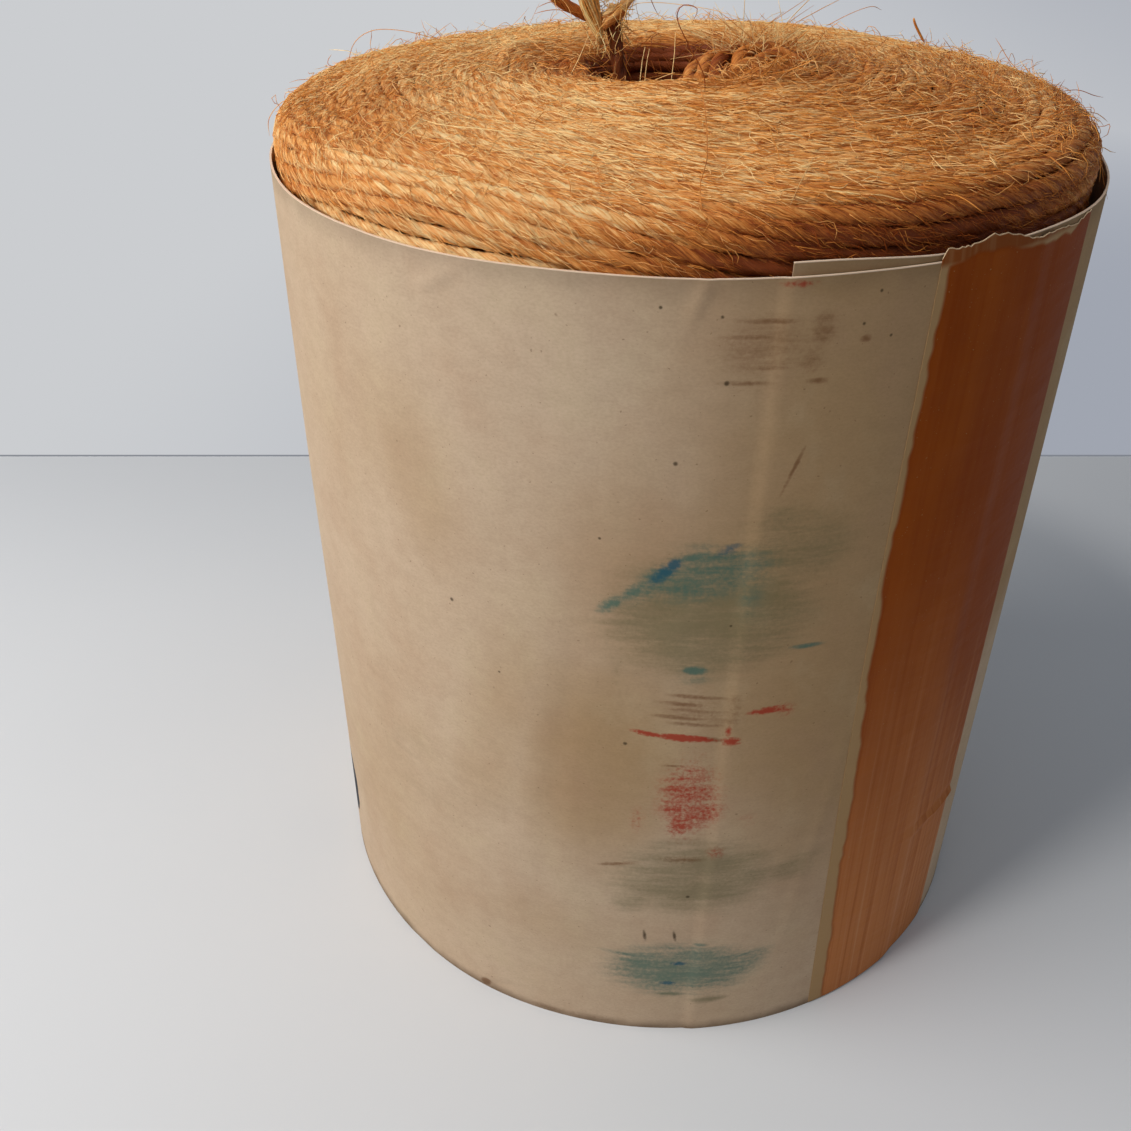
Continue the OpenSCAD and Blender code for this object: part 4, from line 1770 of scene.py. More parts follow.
@dataclass
class PaperSleeve:
    """One sheet of wrapping paper round the ball, its outer end lapped over its inner end."""

    finish: PaperFinish
    inner_radius: float = 97.5 * MM
    height: float = 214.0 * MM
    thickness: float = 0.45 * MM
    lap_start: float = -83.0
    lap_angle: float = 33.0
    lap_gap: float = 0.15 * MM
    lap_rise: float = 2.5 * MM
    lap_slant: float = 3.4
    # The mesh, in degrees along the sheet, is fine where the marks lie
    fine_from: float = 310.0
    fine_step: float = 0.72
    coarse_step: float = 2.6
    rows: int = 165
    # Degrees from the inner end that lie under the lap, free of marks and creases
    covered: float = 60.0

    UV = "sheet_flat"
    CUT = "cut_edge"

    def arc_marks(self) -> list[Smudge]:
        """Rubs the teal arc with its blue core, the haze round it and the dab below."""
        blue, teal, grey = Pigment.BLUE, Pigment.TEAL, Pigment.GREY
        arc = [Smudge(teal, -101 + 3 * i, 142.5 + 4 * i, 9, 3.5, 40, 0.6 + 0.1 * i) for i in range(3)]
        return [
            *arc,
            Smudge(blue, -94.5, 151.5, 9, 3.5, 45, 0.6),
            Smudge(blue, -93.5, 153.5, 3, 2.5, 30, 1.1),
            Smudge(teal, -91, 155.5, 9, 3, 20, 0.6),
            Smudge(blue, -87, 157.5, 6, 2.5, 28, 0.5),
            veil(teal, -94, 151, 28, 8, 38, 0.6),
            veil(teal, -89, 151, 28, 14, 16, 0.7),
            veil(teal, -84, 148, 7, 24, 0, 0.35),
            veil(grey, -89, 141, 50, 36, 8, 0.85),
            veil(grey, -80, 156, 34, 26, 14, 0.55),
            veil(grey, -97, 142, 18, 8, 10, 0.6),
            Smudge(teal, -90, 126, 5, 2.5, -4, 0.75),
            veil(teal, -90, 124.5, 9, 7, 0, 0.35),
            veil(grey, -100, 124.5, 4, 9, 0, 0.4),
            Smudge(teal, -76, 131, 8, 1.5, 0, 0.5),
        ]

    def red_marks(self) -> list[Smudge]:
        """Rubs the brown lines, the red line below them and the speckled red column."""
        red, brown = Pigment.RED, Pigment.BROWN
        lines = [Smudge(brown, -89 - 2 * (i % 2), 110.5 + 2 * i, 14, 1.5, -5, 0.6) for i in range(5)]
        wisps = [Smudge(red, -91.5 + (i % 3), 84 + 2.5 * i, 6, 1, 4, 0.6) for i in range(6)]
        return [
            *lines,
            *wisps,
            Smudge(brown, -92, 98, 6, 1, 0, 0.7),
            Smudge(red, -95.5, 107.5, 8, 1.5, -10, 0.8),
            Smudge(red, -90.5, 106.5, 12, 2, -6, 1.2),
            Smudge(brown, -87, 106, 6, 1.5, -8, 0.7),
            Smudge(red, -84.5, 105.5, 4.5, 2.5, 0, 0.9),
            Smudge(red, -85, 108.5, 1.5, 3, 0, 0.6),
            Smudge(red, -80, 114, 9, 2, 4, 0.8),
            veil(red, -77.5, 113.5, 6, 6, 0, 0.4),
            veil(red, -89.5, 88, 17, 30, 0, 0.56),
            veil(red, -88, 83, 14, 9, 6, 0.6),
            veil(red, -90.5, 79, 7, 9, 0, 0.75),
            veil(brown, -88, 114, 22, 12, -4, 0.4),
            veil(red, -96.5, 80, 4, 10, 0, 0.35),
            veil(red, -81, 80, 6, 8, 0, 0.25),
            veil(brown, -84.5, 115, 4, 14, 0, 0.5),
        ]

    def foot_marks(self) -> list[Smudge]:
        """Rubs the olive wash low on the sheet and the teal fan of streaks near its foot."""
        blue, teal, grey, brown = Pigment.BLUE, Pigment.TEAL, Pigment.GREY, Pigment.BROWN
        left = [Smudge(teal, -96 + i, 30 - 3.5 * i, 18, 2, -8, 0.5) for i in range(4)]
        right = [Smudge(teal, -79 - 2 * i, 29.5 - 3 * i, 12, 2, 12, 0.45) for i in range(3)]
        ticks = [Smudge(Pigment.SPECK, angle, 38.5, 1, 4, 8, 0.7) for angle in (-94.5, -90)]
        return [
            *left,
            *right,
            *ticks,
            veil(teal, -88.5, 25, 42, 22, 0, 0.85),
            veil(teal, -78, 28, 16, 8, 12, 0.5),
            Smudge(blue, -89, 27.5, 4, 1.5, 0, 1.0),
            Smudge(blue, -90.5, 19.5, 4.5, 1.5, 0, 0.8),
            veil(teal, -86, 25, 5, 14, 0, 0.7),
            Smudge(teal, -86, 35, 5, 2, 0, 0.6),
            Smudge(grey, -84, 12.5, 11, 3, 4, 0.6),
            Smudge(grey, -90, 15, 8, 2, 0, 0.5),
            veil(grey, -88, 61, 44, 30, 0, 0.8),
            Smudge(grey, -95.5, 52, 9, 3, 0, 0.5),
            Smudge(grey, -84.5, 56, 9, 3, 6, 0.55),
            Smudge(brown, -90, 67, 11, 3, 0, 0.5),
            Smudge(brown, -98.5, 64.5, 12, 1.5, 12, 0.6),
            veil(Pigment.RED, -85, 69.5, 6, 5, 0, 0.4),
            veil(grey, -73, 60, 22, 12, 12, 0.45),
            veil(grey, -97, 50, 14, 8, 0, 0.5),
        ]

    def top_marks(self) -> list[Smudge]:
        """Rubs the faint brown marks under the top edge."""
        brown = Pigment.BROWN
        lines = [Smudge(brown, -87 + (i % 3) * 2, 194 + 3 * i, 13, 1.5, 0, 0.45) for i in range(5)]
        return [
            *lines,
            veil(brown, -79, 204.5, 6, 8, 0, 0.6),
            veil(brown, -80, 198, 6, 7, 0, 0.55),
            veil(brown, -85, 200, 26, 20, 0, 0.35),
            Smudge(brown, -79, 194, 5, 1.5, 0, 0.7),
            Smudge(brown, -74, 201.5, 2.5, 1.5, 0, 0.7),
            Smudge(Pigment.RED, -82, 213, 7, 1.5, 0, 0.55),
            veil(Pigment.GREY, -82, 165, 14, 3, 28, 0.45),
            Smudge(brown, -80.5, 175.5, 1, 11, -20, 0.7),
        ]

    def specks(self) -> list[Smudge]:
        """Sets the few dark specks."""
        small = (
            *((-90, 207), (-96.5, 208.5), (-73, 210.5), (-74.5, 204.5), (-71, 201.5)),
            *((-102.5, 158.5), (-86, 138), (-116, 118)),
        )
        large = ((-89, 194), (-94, 177), (-88.5, 53.5), (-98.5, 104), (-123, 134))
        return [dot(*place, 0.7, 0.7) for place in small] + [dot(*place, 1, 0.8) for place in large]

    def worn_and_shaded_marks(self) -> list[Smudge]:
        """Gives the dark patch at the left, and the ageing, stains and painted shade all round."""
        grey, aged = Pigment.GREY, Pigment.AGED_AND_SHADED
        return [
            veil(Pigment.DARK, -167, 24, 22, 25, -4, 2.0),
            # Painted shade: these three veils of the ageing tint darken the right side and the top of the
            # sheet's inner end.
            veil(aged, -64, 165, 110, 260, 0, 0.85),
            veil(aged, -32, 200, 60, 170, 0, 2.6),
            veil(aged, -66, 214, 60, 16, 0, 1.6),
            veil(aged, -95, 150, 50, 90, 0, 0.4),
            veil(aged, 30, 110, 240, 260, 0, 0.5),
            veil(aged, 130, 150, 140, 90, 10, 0.5),
            veil(aged, -136, 70, 80, 110, -10, 0.2),
            veil(aged, -118, 95, 26, 70, -15, 0.35),
            veil(aged, -101, 98, 46, 70, -15, 0.6),
            veil(aged, -128, 165, 24, 50, 10, 0.3),
            veil(aged, -112, 40, 36, 24, 10, 0.2),
            Smudge(Pigment.BROWN, -121, 2, 3, 2.5, 30, 1.1),
            veil(Pigment.BROWN, -106, 1.5, 34, 3, 0, 0.5),
            veil(grey, -128, 75, 60, 50, 0, 0.2),
            # Painted shade on the paper beside the tape's far edge.
            veil(grey, -33, 190, 34, 130, 0, 0.6),
            veil(grey, 95, 120, 70, 60, 10, 0.35),
            veil(grey, 10, 60, 60, 40, 0, 0.4),
            veil(Pigment.BROWN, 150, 150, 50, 20, 6, 0.35),
        ]

    def smudges(self) -> list[Smudge]:
        """Gives every rubbed mark and stain on the sheet, and its painted shade."""
        front = self.arc_marks() + self.red_marks() + self.foot_marks() + self.top_marks()
        return front + self.specks() + self.worn_and_shaded_marks()

    def creases(self) -> tuple[Crease, ...]:
        """Gives the folds that handling has left."""
        return (
            Crease(-92.3, 210.5, 10, 68, 1.9, 0.45),
            Crease(-122.0, 209, 11, 28, 1.6, 0.5),
            Crease(-125.5, 204, 12, -62, 1.6, -0.35),
            Crease(-118.0, 4, 10, 20, 1.5, -0.5),
            Crease(-70.0, 70, 90, 82, 2.6, 0.18),
            Crease(-140.0, 120, 120, 86, 6.0, 0.22),
            Crease(-108.0, 90, 110, 84, 7.0, -0.2),
            Crease(60.0, 110, 150, 80, 5.0, 0.3),
            Crease(160.0, 100, 130, 88, 5.0, -0.3),
            Crease(20.0, 40, 60, 30, 3.0, 0.3),
        )

    def columns(self) -> Array:
        """Gives the sheet's columns in degrees along it: fine where the marks lie."""
        end = 360 + self.lap_angle
        coarse = np.arange(0, self.fine_from - 4, self.coarse_step)
        return np.concatenate([coarse, np.arange(self.fine_from, end, self.fine_step), [end]])

    def middle_radius(self, way: Array) -> Array:
        """Radius of the sheet's inner face, lifted where the sheet lies over its own inner end."""
        share = 0.3 * smooth_step(way, 340, 357) + 0.7 * smooth_step(way, 358.7, 360.0)
        return self.inner_radius + (self.thickness + self.lap_gap) * share

    def top_height(self, way: Array) -> Array:
        """Height of the sheet's upper edge, by degrees along it.

        Args:
            way: Degrees from the sheet's inner end.

        Returns:
            The height, a little more at the inner end because the sheet is wrapped askew.
        """
        wobble = 0.25 * MM * np.sin(np.radians(way) * 3 + 1) + 0.12 * MM * np.sin(np.radians(way) * 11)
        rise = self.lap_rise * (1 - 0.55 * smooth_step(way, 2, 20)) * (1 - smooth_step(way, 26, 60))
        return self.height + rise + wobble

    def build(self) -> None:
        """Makes the sheet flat, wraps it and gives it its thickness."""
        piece, way, share = flat_grid("paper_sheet", self.columns(), self.rows)
        up = share * self.top_height(way)
        slant = self.lap_slant * (1 - up / self.height)
        angle = way + self.lap_start - slant * (1 - smooth_step(way, 0, 30))
        radius = self.middle_radius(way + slant) + self.thickness + self.relief(angle, way, up)
        wrap(piece, radius, angle, up)
        lay_flat(piece, self.UV, np.radians(way) * self.inner_radius, up)
        self.mark(piece, way, up)
        finish = self.finish.make(self.fine_marks())
        dress(piece, Body.SLEEVE, finish, "paper_sleeve")

    def fine_marks(self) -> list[Smudge]:
        """Places the marks too fine for the mesh on the flat sheet, in metres."""
        marks = []
        for mark in self.smudges():
            if not mark.soft:
                way = (mark.angle - self.lap_start) % 360 + (360 if mark.angle > self.lap_start else 0)
                x = math.radians(way) * self.inner_radius
                size = (mark.length * MM, mark.width * MM)
                marks.append(Smudge(mark.pigment, x, mark.height * MM, *size, mark.tilt, mark.load))
        return marks

    def relief(self, angle: Array, way: Array, up: Array) -> Array:
        """Gives how far the sheet stands off its even round.

        Args:
            angle: Degrees round the ball.
            way: Degrees along the sheet.
            up: Heights.

        Returns:
            Distances outwards.
        """
        turned, tall = np.radians(angle), up / self.height
        free = smooth_step(way, 50, 85) * (1 - smooth_step(way, 330, 352))
        wave = 0.22 * np.sin(3 * turned + 4 * tall) + 0.16 * np.sin(5 * turned - 7 * tall + 1)
        wave = wave + 0.1 * np.sin(9 * turned + 9 * tall + 2)
        total = MM * free * (wave + 0.3)
        outer = way > self.covered
        for crease in self.creases():
            along, across = self.local(angle, up, crease.angle, crease.height, crease.tilt)
            fade = np.exp(-((2 * along / crease.length) ** 2))
            ridge = np.exp(-((2 * across / crease.width) ** 2))
            total = total + outer * crease.depth * MM * fade * ridge
        return total

    def local(
        self, angle: Array, up: Array, at_angle: float, at_height: float, tilt: float
    ) -> tuple[Array, Array]:
        """Measures the sheet from a mark on it.

        Args:
            angle: Degrees round the ball.
            up: Heights in metres.
            at_angle: The mark's place in degrees.
            at_height: The mark's height in millimetres.
            tilt: The mark's tilt in degrees.

        Returns:
            Millimetres along and across the mark.
        """
        x = np.radians(signed(angle - at_angle)) * self.inner_radius / MM
        y = up / MM - at_height
        turned = math.radians(tilt)
        return x * math.cos(turned) + y * math.sin(turned), y * math.cos(turned) - x * math.sin(turned)

    def mark(self, piece: Object, way: Array, up: Array) -> None:
        """Rubs the soft marks and painted shade on the sheet, gives it its thickness and keeps its inner
        face clean.

        Args:
            piece: The wrapped sheet.
            way: Degrees along the sheet, for each point.
            up: Height of each point.
        """
        angle = way + self.lap_start
        outer = way > self.covered
        loads = {pigment: np.zeros(len(way)) for pigment in Pigment}
        for smudge in self.smudges():
            if not smudge.soft:
                continue
            along, across = self.local(angle, up, smudge.angle, smudge.height, smudge.tilt)
            far = np.sqrt((2 * along / smudge.length) ** 2 + (2 * across / smudge.width) ** 2)
            # The ageing tint and painted shade reach the covered inner end too, whose top shows.
            shown = 1.0 if smudge.pigment is Pigment.AGED_AND_SHADED else outer
            load = shown * smudge.load * (1 - smooth_step(far, 0.2, 1.45))
            loads[smudge.pigment] = np.maximum(loads[smudge.pigment], load)
        for pigment, load in loads.items():
            paint(piece, pigment.value, load)
        paint(piece, self.CUT, up > self.top_height(way) - 0.2 * MM)
        thicken(piece, self.thickness)
        for pigment in Pigment:
            layer = piece.data.attributes[pigment.value]
            load = np.zeros(len(piece.data.vertices), np.float32)
            layer.data.foreach_get("value", load)
            load[len(way) :] = 0.0
            layer.data.foreach_set("value", load)


# --------------------------------------------------------------- packing tape


@dataclass
class PackingTape:
    """The strip of tape that closes the sleeve, torn at its upper end."""

    finish: Material
    sleeve: PaperSleeve
    width: float = 50.0 * MM
    thickness: float = 0.15 * MM
    bed: float = 0.1 * MM
    start: float = -66.0
    foot: float = 0.5 * MM
    drop: float = 4.0
    # Air under the tape, the bow of its first edge in degrees, and how ragged the tear is
    gap: float = 0.02 * MM
    bow: float = 0.9
    rag: float = 0.28 * MM
    rows: int = 190
    # Torn upper edge: millimetres across the tape, and millimetres above the rim
    tear: tuple[tuple[float, float], ...] = (
        (0, 1),
        (1, 2.5),
        (7, 2.5),
        (12, 3.5),
        (19, 2.5),
        (24, 0.5),
        (37, 0),
        (41, -1),
        (47, 0),
        (50, 0),
    )
    # Where the brown starts: height in millimetres, and millimetres in from the first edge
    margin: tuple[tuple[float, float], ...] = ((0, 4.5), (100, 3), (148, 1), (190, 2), (213, 2))
    # Where the brown ends below the torn edge: millimetres across, and millimetres above the rim
    brown_top: tuple[tuple[float, float], ...] = (
        (0, -1.5),
        (8, 0.5),
        (14, 0.5),
        (28, -1.5),
        (33, -2),
        (37, -1.5),
        (40, -2.5),
        (46, 0.5),
        (50, 1),
    )

    UV = "strip_flat"
    BARE = "bare_film"
    TORN = "torn_rim"

    def bed_radius(self, angle: Array) -> Array:
        """Radius of the tape's inner face: over both layers, then down past the sheet's end.

        Args:
            angle: Degrees round the ball.

        Returns:
            The radius.
        """
        sleeve = self.sleeve
        lift = sleeve.thickness + sleeve.lap_gap
        past = (angle - sleeve.lap_start - sleeve.lap_angle) / self.drop
        raised = self.bed * smooth_step(angle, self.start, self.start + 3)
        under = sleeve.inner_radius + sleeve.thickness + self.gap + raised
        return under + lift * (1 - smooth_step(past, 0.0, 1.0))

    def build(self) -> None:
        """Makes the strip flat, tears its upper end, and lays it on the sleeve."""
        rng = Seed.TAPE_TEAR.start()
        across = np.concatenate([np.arange(0, 7, 0.35), np.arange(7, 50, 0.62), [50.0]]) * MM
        piece, x, share = flat_grid("tape_strip", across, self.rows)
        ragged = self.rag * np.interp(x, across, drift(rng, len(across), 2))
        top = self.sleeve.height + height_at(self.tear, x) + ragged
        up = self.foot + (1 - (1 - share) ** 1.5) * (top - self.foot)
        angle = self.start + np.degrees(x / self.sleeve.inner_radius)
        angle = angle - self.bow * np.sin(math.pi * up / self.sleeve.height) * (1 - x / self.width)
        wrap(piece, self.bed_radius(angle) + self.thickness + self.relief(x, up), angle, up)
        lay_flat(piece, self.UV, x, up)
        self.mark(piece, x, up, top)
        thicken(piece, self.thickness)
        dress(piece, Body.SLEEVE, self.finish, "packing_tape")

    def relief(self, x: Array, up: Array) -> Array:
        """Gives the tape's wrinkles: one crease across it low down, and the curl of its torn end.

        Args:
            x: Distances across the tape.
            up: Heights.

        Returns:
            Distances outwards.
        """
        line = 53 * MM - 0.1 * (x - 25 * MM) + 1.2 * MM * np.sin(x / MM / 6)
        reach = smooth_step(x, 22 * MM, 34 * MM)
        crease = 1.0 * MM * reach * np.exp(-(((up - line) / (1.1 * MM)) ** 2))
        second = 0.25 * MM * np.exp(-(((up - line - 5 * MM) / (2.5 * MM)) ** 2)) * reach
        above = np.clip(up - self.sleeve.height, 0, None)
        return crease + second - 0.12 * above

    def mark(self, piece: Object, x: Array, up: Array, top: Array) -> None:
        """Paints the strip's bare margin and its torn rim.

        Args:
            piece: The strip.
            x: Distance across it, for each point.
            up: Height of each point.
            top: Height of the torn edge above each point.
        """
        rng = Seed.TAPE_BROWN.start()
        waver = drift(rng, 300, 4) * 0.3 * MM + drift(rng, 300, 18) * 0.4 * MM
        brown = height_at(self.margin, up) + np.interp(up, np.linspace(0, 0.22, 300), waver)
        side = np.clip(0.5 + (brown - x) / (1.1 * MM), 0, 1)
        fringe = np.interp(x, np.linspace(0, 0.05, 90), drift(rng, 90, 3) * 0.35 * MM)
        top_brown = self.sleeve.height + height_at(self.brown_top, x) + fringe
        high = np.clip(0.5 + (up - top_brown) / (0.9 * MM), 0, 1)
        paint(piece, self.BARE, np.maximum(side, high))
        paint(piece, self.TORN, np.clip(1 - (top - up) / (0.38 * MM), 0, 1))


# -------------------------------------------------------------------- pull end


@dataclass
class PullEnd:
    """The twine's inner end: a tail up the hole, a knot, a loop for the finger and a frayed tip."""

    dark_twine: Material
    twine: Material
    fibres: Material
    frayed: Material
    strand: Strand = field(default_factory=lambda: Strand(lump=0.12 * MM))
    tail_girth: float = 1.72 * MM
    loop_girth: float = 1.28 * MM
    knot_place: tuple[float, float, float] = (-0.0176, 0.0, 0.2395)
    fray_lean: tuple[float, float] = (-27.0, 8.0)
    fray_length: float = 26.0 * MM
    fray_tip: float = 3.0 * MM
    fray_root: tuple[float, float, float] = (-0.0022, -0.0012, -0.0044)
    tail_route: tuple[tuple[float, float, float], ...] = (
        (-0.0175, -0.0015, 0.150),
        (-0.0175, -0.0015, 0.157),
        (-0.0175, -0.0015, 0.164),
        (-0.0174, -0.0015, 0.171),
        (-0.0172, -0.0014, 0.178),
        (-0.0169, -0.0014, 0.185),
        (-0.0165, -0.0013, 0.192),
        (-0.0160, -0.0012, 0.199),
        (-0.0155, -0.0011, 0.206),
        (-0.0150, -0.0009, 0.213),
        (-0.0147, -0.0007, 0.220),
        (-0.0150, -0.0004, 0.227),
        (-0.0160, -0.0002, 0.233),
        (-0.0171, 0.0, 0.2405),
    )
    loop_route: tuple[tuple[float, float, float], ...] = (
        (-0.0164, 0.0, 0.2405),
        (-0.0138, 0.0004, 0.2442),
        (-0.0098, 0.0010, 0.2488),
        (-0.0055, 0.0015, 0.2545),
        (-0.0025, 0.0018, 0.2615),
        (-0.0032, 0.0018, 0.2695),
        (-0.0075, 0.0016, 0.2765),
        (-0.0140, 0.0012, 0.2805),
        (-0.0215, 0.0006, 0.2815),
        (-0.0290, 0.0, 0.2795),
        (-0.0350, -0.0006, 0.2750),
        (-0.0388, -0.0010, 0.2685),
        (-0.0398, -0.0012, 0.2610),
        (-0.0380, -0.0010, 0.2535),
        (-0.0330, -0.0006, 0.2470),
        (-0.0260, -0.0002, 0.2423),
        (-0.0196, 0.0, 0.2400),
    )

    def cord(
        self,
        name: str,
        route: Sequence[Sequence[float]],
        seed: Seed,
        girth: float,
        pale: tuple[float, float],
    ) -> tuple[Object, Array]:
        """Sweeps a strand along a route.

        Args:
            name: The piece's name.
            route: The route's points.
            seed: Seed of its lumps.
            girth: Its radius.
            pale: How much paler it is where it starts, and where it ends.

        Returns:
            The strand and the line that it follows.
        """
        line = smooth_route(route, 1.0 * MM)
        outward = np.tile([0.0, 1.0, 0.0], (len(line), 1))
        shade = np.interp(np.linspace(0, 1, len(line)), (0.12, 0.3), pale)
        strand = Strand(radius=girth, lump=self.strand.lump)
        return strand.sweep(name, line, outward, seed.start(), shade=shade, laid=False), line

    def knot(self) -> Object:
        """Winds the knot: a slanting wrap round the standing twine, tucked in at both ends."""
        share = np.linspace(0, 1, 70)
        angle = TURN * (1.45 * share) + math.radians(150)
        tuck = smooth_step(share, 0.0, 0.14) * (1 - smooth_step(share, 0.86, 1.0))
        reach = (1.0 + 1.1 * tuck) * MM
        rise = (0.6 + 2.2 * share) * MM + 1.5 * MM * np.cos(angle)
        line = np.column_stack([reach * np.cos(angle), reach * np.sin(angle), rise])
        line = line + np.array(self.knot_place)
        outward = line - np.array(self.knot_place)
        strand = Strand(radius=1.2 * MM, lump=self.strand.lump)
        return strand.sweep("tail_knot_wraps", line, outward, Seed.KNOT.start(), 0.9, 0, 0.15, False)

    def fray(self) -> Object:
        """Spreads the untwisted end: fibres that leave the knot together and part."""
        rng = Seed.FRAY.start()
        count, rings = 170, 10
        lean_y, lean_x = (math.radians(a) for a in self.fray_lean)
        axis = np.array(
            [math.sin(lean_y), -math.sin(lean_x) * math.cos(lean_y), math.cos(lean_x) * math.cos(lean_y)]
        )
        tip = np.array(self.knot_place) + self.fray_length * axis
        root = np.array(self.knot_place) + np.array(self.fray_root)
        share = np.linspace(0, 1, rings)[None, :]
        far = share * rng.uniform(0.5, 1.02, count)[:, None]
        bow = (far * (1 - far))[..., None] * np.array([0.0, 0.0, 5 * MM])
        middle = root + far[..., None] * (tip - root) + bow
        side = unit(np.cross(axis, [0.0, 1.0, 0.0]))
        other = np.cross(side, axis)
        way = rng.uniform(0, TURN, count)[:, None]
        share_out = np.sqrt(rng.uniform(0, 1, count))[:, None]
        out = 0.4 * MM + 1.3 * MM * smooth_step(far, 0.0, 0.3) + (self.fray_tip - 1.7 * MM) * far
        out = out * share_out
        turn = way + rng.normal(0.9, 0.5, count)[:, None] * share
        wave = 0.4 * MM * np.sin(TURN * share * rng.uniform(0.6, 1.6, count)[:, None] + way)
        paths = middle + (out * np.cos(turn) + wave)[..., None] * side
        paths = paths + (out * np.sin(turn) + wave)[..., None] * other
        outward = paths - middle + 1e-6 * side
        thickness = rng.uniform(0.09, 0.17, count) * MM
        return fibre_object("frayed_tip", paths, outward, thickness, rng.uniform(0.15, 1.0, count))

    def fuzz(self, name: str, line: Array, count: int, seed: Seed) -> Object:
        """Grows loose fibres off a free strand.

        Args:
            name: The piece's name.
            line: The strand's line.
            count: How many fibres.
            seed: Seed of their chance.

        Returns:
            The fibres.
        """
        rng = seed.start()
        rings = 7
        root = rng.integers(2, len(line) - 3, count)
        along = unit(line[root + 1] - line[root - 1])
        way = rng.uniform(0, TURN, count)[:, None]
        side = unit(np.cross(along, [0.0, 1.0, 0.0]))
        off = np.cos(way) * side + np.sin(way) * np.cross(along, side)
        tangent = np.cross(along, off)
        share = np.linspace(0, 1, rings)[None, :, None]
        length = (rng.uniform(3, 8, count) * MM)[:, None, None]
        sign = np.where(rng.uniform(0, 1, count) < 0.5, -1.0, 1.0)[:, None, None]
        stand = rng.uniform(0.05, 0.5, count)[:, None, None]
        twirl = rng.normal(0.4, 0.5, count)[:, None, None]
        paths = (
            line[root][:, None]
            + off[:, None] * (self.strand.radius * 0.9 + length * stand * share**1.5)
            + along[:, None] * sign * length * share * 0.85
            + tangent[:, None] * length * twirl * share**2
        )
        outward = np.broadcast_to(off[:, None], paths.shape)
        thickness = rng.uniform(0.06, 0.1, count) * MM
        return fibre_object(name, paths, outward, thickness, rng.uniform(0.2, 0.9, count))

    def knot_fuzz(self) -> Object:
        """Grows the curly fibres that stand off the knot all round."""
        rng = Seed.KNOT_FUZZ.start()
        count, rings = 85, 10
        way = unit(rng.normal(0, 1, (count, 3)) * [1.0, 0.8, 0.9])
        shift = np.outer(rng.uniform(-3, 4, count), [0.1, 0, 1]) * MM
        root = np.array(self.knot_place) + 1.6 * MM * way + shift
        length = (rng.uniform(3, 11, count) * MM)[:, None, None]
        share = np.linspace(0, 1, rings)[None, :, None]
        turn = unit(np.cross(way, rng.normal(0, 1, (count, 3))))
        curl = np.sin(rng.uniform(0.8, 2.4, count)[:, None, None] * share * math.pi)
        straight = way[:, None] * share * rng.uniform(0.2, 0.9, count)[:, None, None]
        paths = root[:, None] + length * (straight + 0.45 * turn[:, None] * curl - [0, 0, 0.25] * share**2)
        outward = np.broadcast_to(np.cross(way, turn)[:, None], paths.shape)
        thickness = rng.uniform(0.06, 0.11, count) * MM
        return fibre_object("knot_fuzz", paths, outward, thickness, rng.uniform(0.2, 1.0, count))

    def build(self) -> None:
        """Makes the tail, the knot, the loop and the frayed end."""
        tail, tail_line = self.cord("tail_strand", self.tail_route, Seed.TAIL, self.tail_girth, (-0.7, -0.5))
        loop, loop_line = self.cord("loop_strand", self.loop_route, Seed.LOOP, self.loop_girth, (0.2, -0.75))
        knot, fray = self.knot(), self.fray()
        tail_fuzz = self.fuzz("tail_fuzz", tail_line, 160, Seed.TAIL_FUZZ)
        knot_fuzz = self.knot_fuzz()
        loop_fuzz = self.fuzz("loop_fuzz", loop_line, 170, Seed.LOOP_FUZZ)
        plan = (
            (tail, self.dark_twine, Slot.TWINE_DARK, "twine_tail"),
            (loop, self.twine, Slot.TWINE_DARK, "pull_loop"),
            (knot, self.twine, Slot.TWINE_DARK, "tail_knot"),
            (fray, self.frayed, Slot.TWINE_PALE, "frayed_end"),
            (tail_fuzz, self.fibres, Slot.TWINE_PALE, "twine_tail"),
            (knot_fuzz, self.frayed, Slot.TWINE_PALE, "tail_knot"),
            (loop_fuzz, self.fibres, Slot.TWINE_PALE, "pull_loop"),
        )
        for piece, finish, slot, node in plan:
            dress(piece, Body.PULL_END, finish, node)


# ---------------------------------------------------------------------- studio


@dataclass(frozen=True)
class Lamp:
    """A round soft lamp: its place, diameter in metres, power in watts and colour."""

    name: str
    place: tuple[float, float, float]
    size: float
    power: float
    colour: tuple[float, float, float] = (1.0, 0.99, 0.975)

    def hang(self, target: tuple[float, float, float]) -> None:
        """Hangs the lamp so that it faces a target.

        Args:
            target: What it faces.
        """
        way = np.array(target) - np.array(self.place)
        flat = math.hypot(way[0], way[1])
        turn = (math.atan2(flat, -way[2]), 0.0, math.atan2(way[1], way[0]) - math.pi / 2)
        bpy.ops.object.light_add(type="AREA", location=self.place, rotation=turn)
        lamp = bpy.context.active_object
        lamp.name = self.name
        lamp.data.shape = "DISK"
        lamp.data.size = self.size
        lamp.data.energy = self.power
        lamp.data.color = self.colour


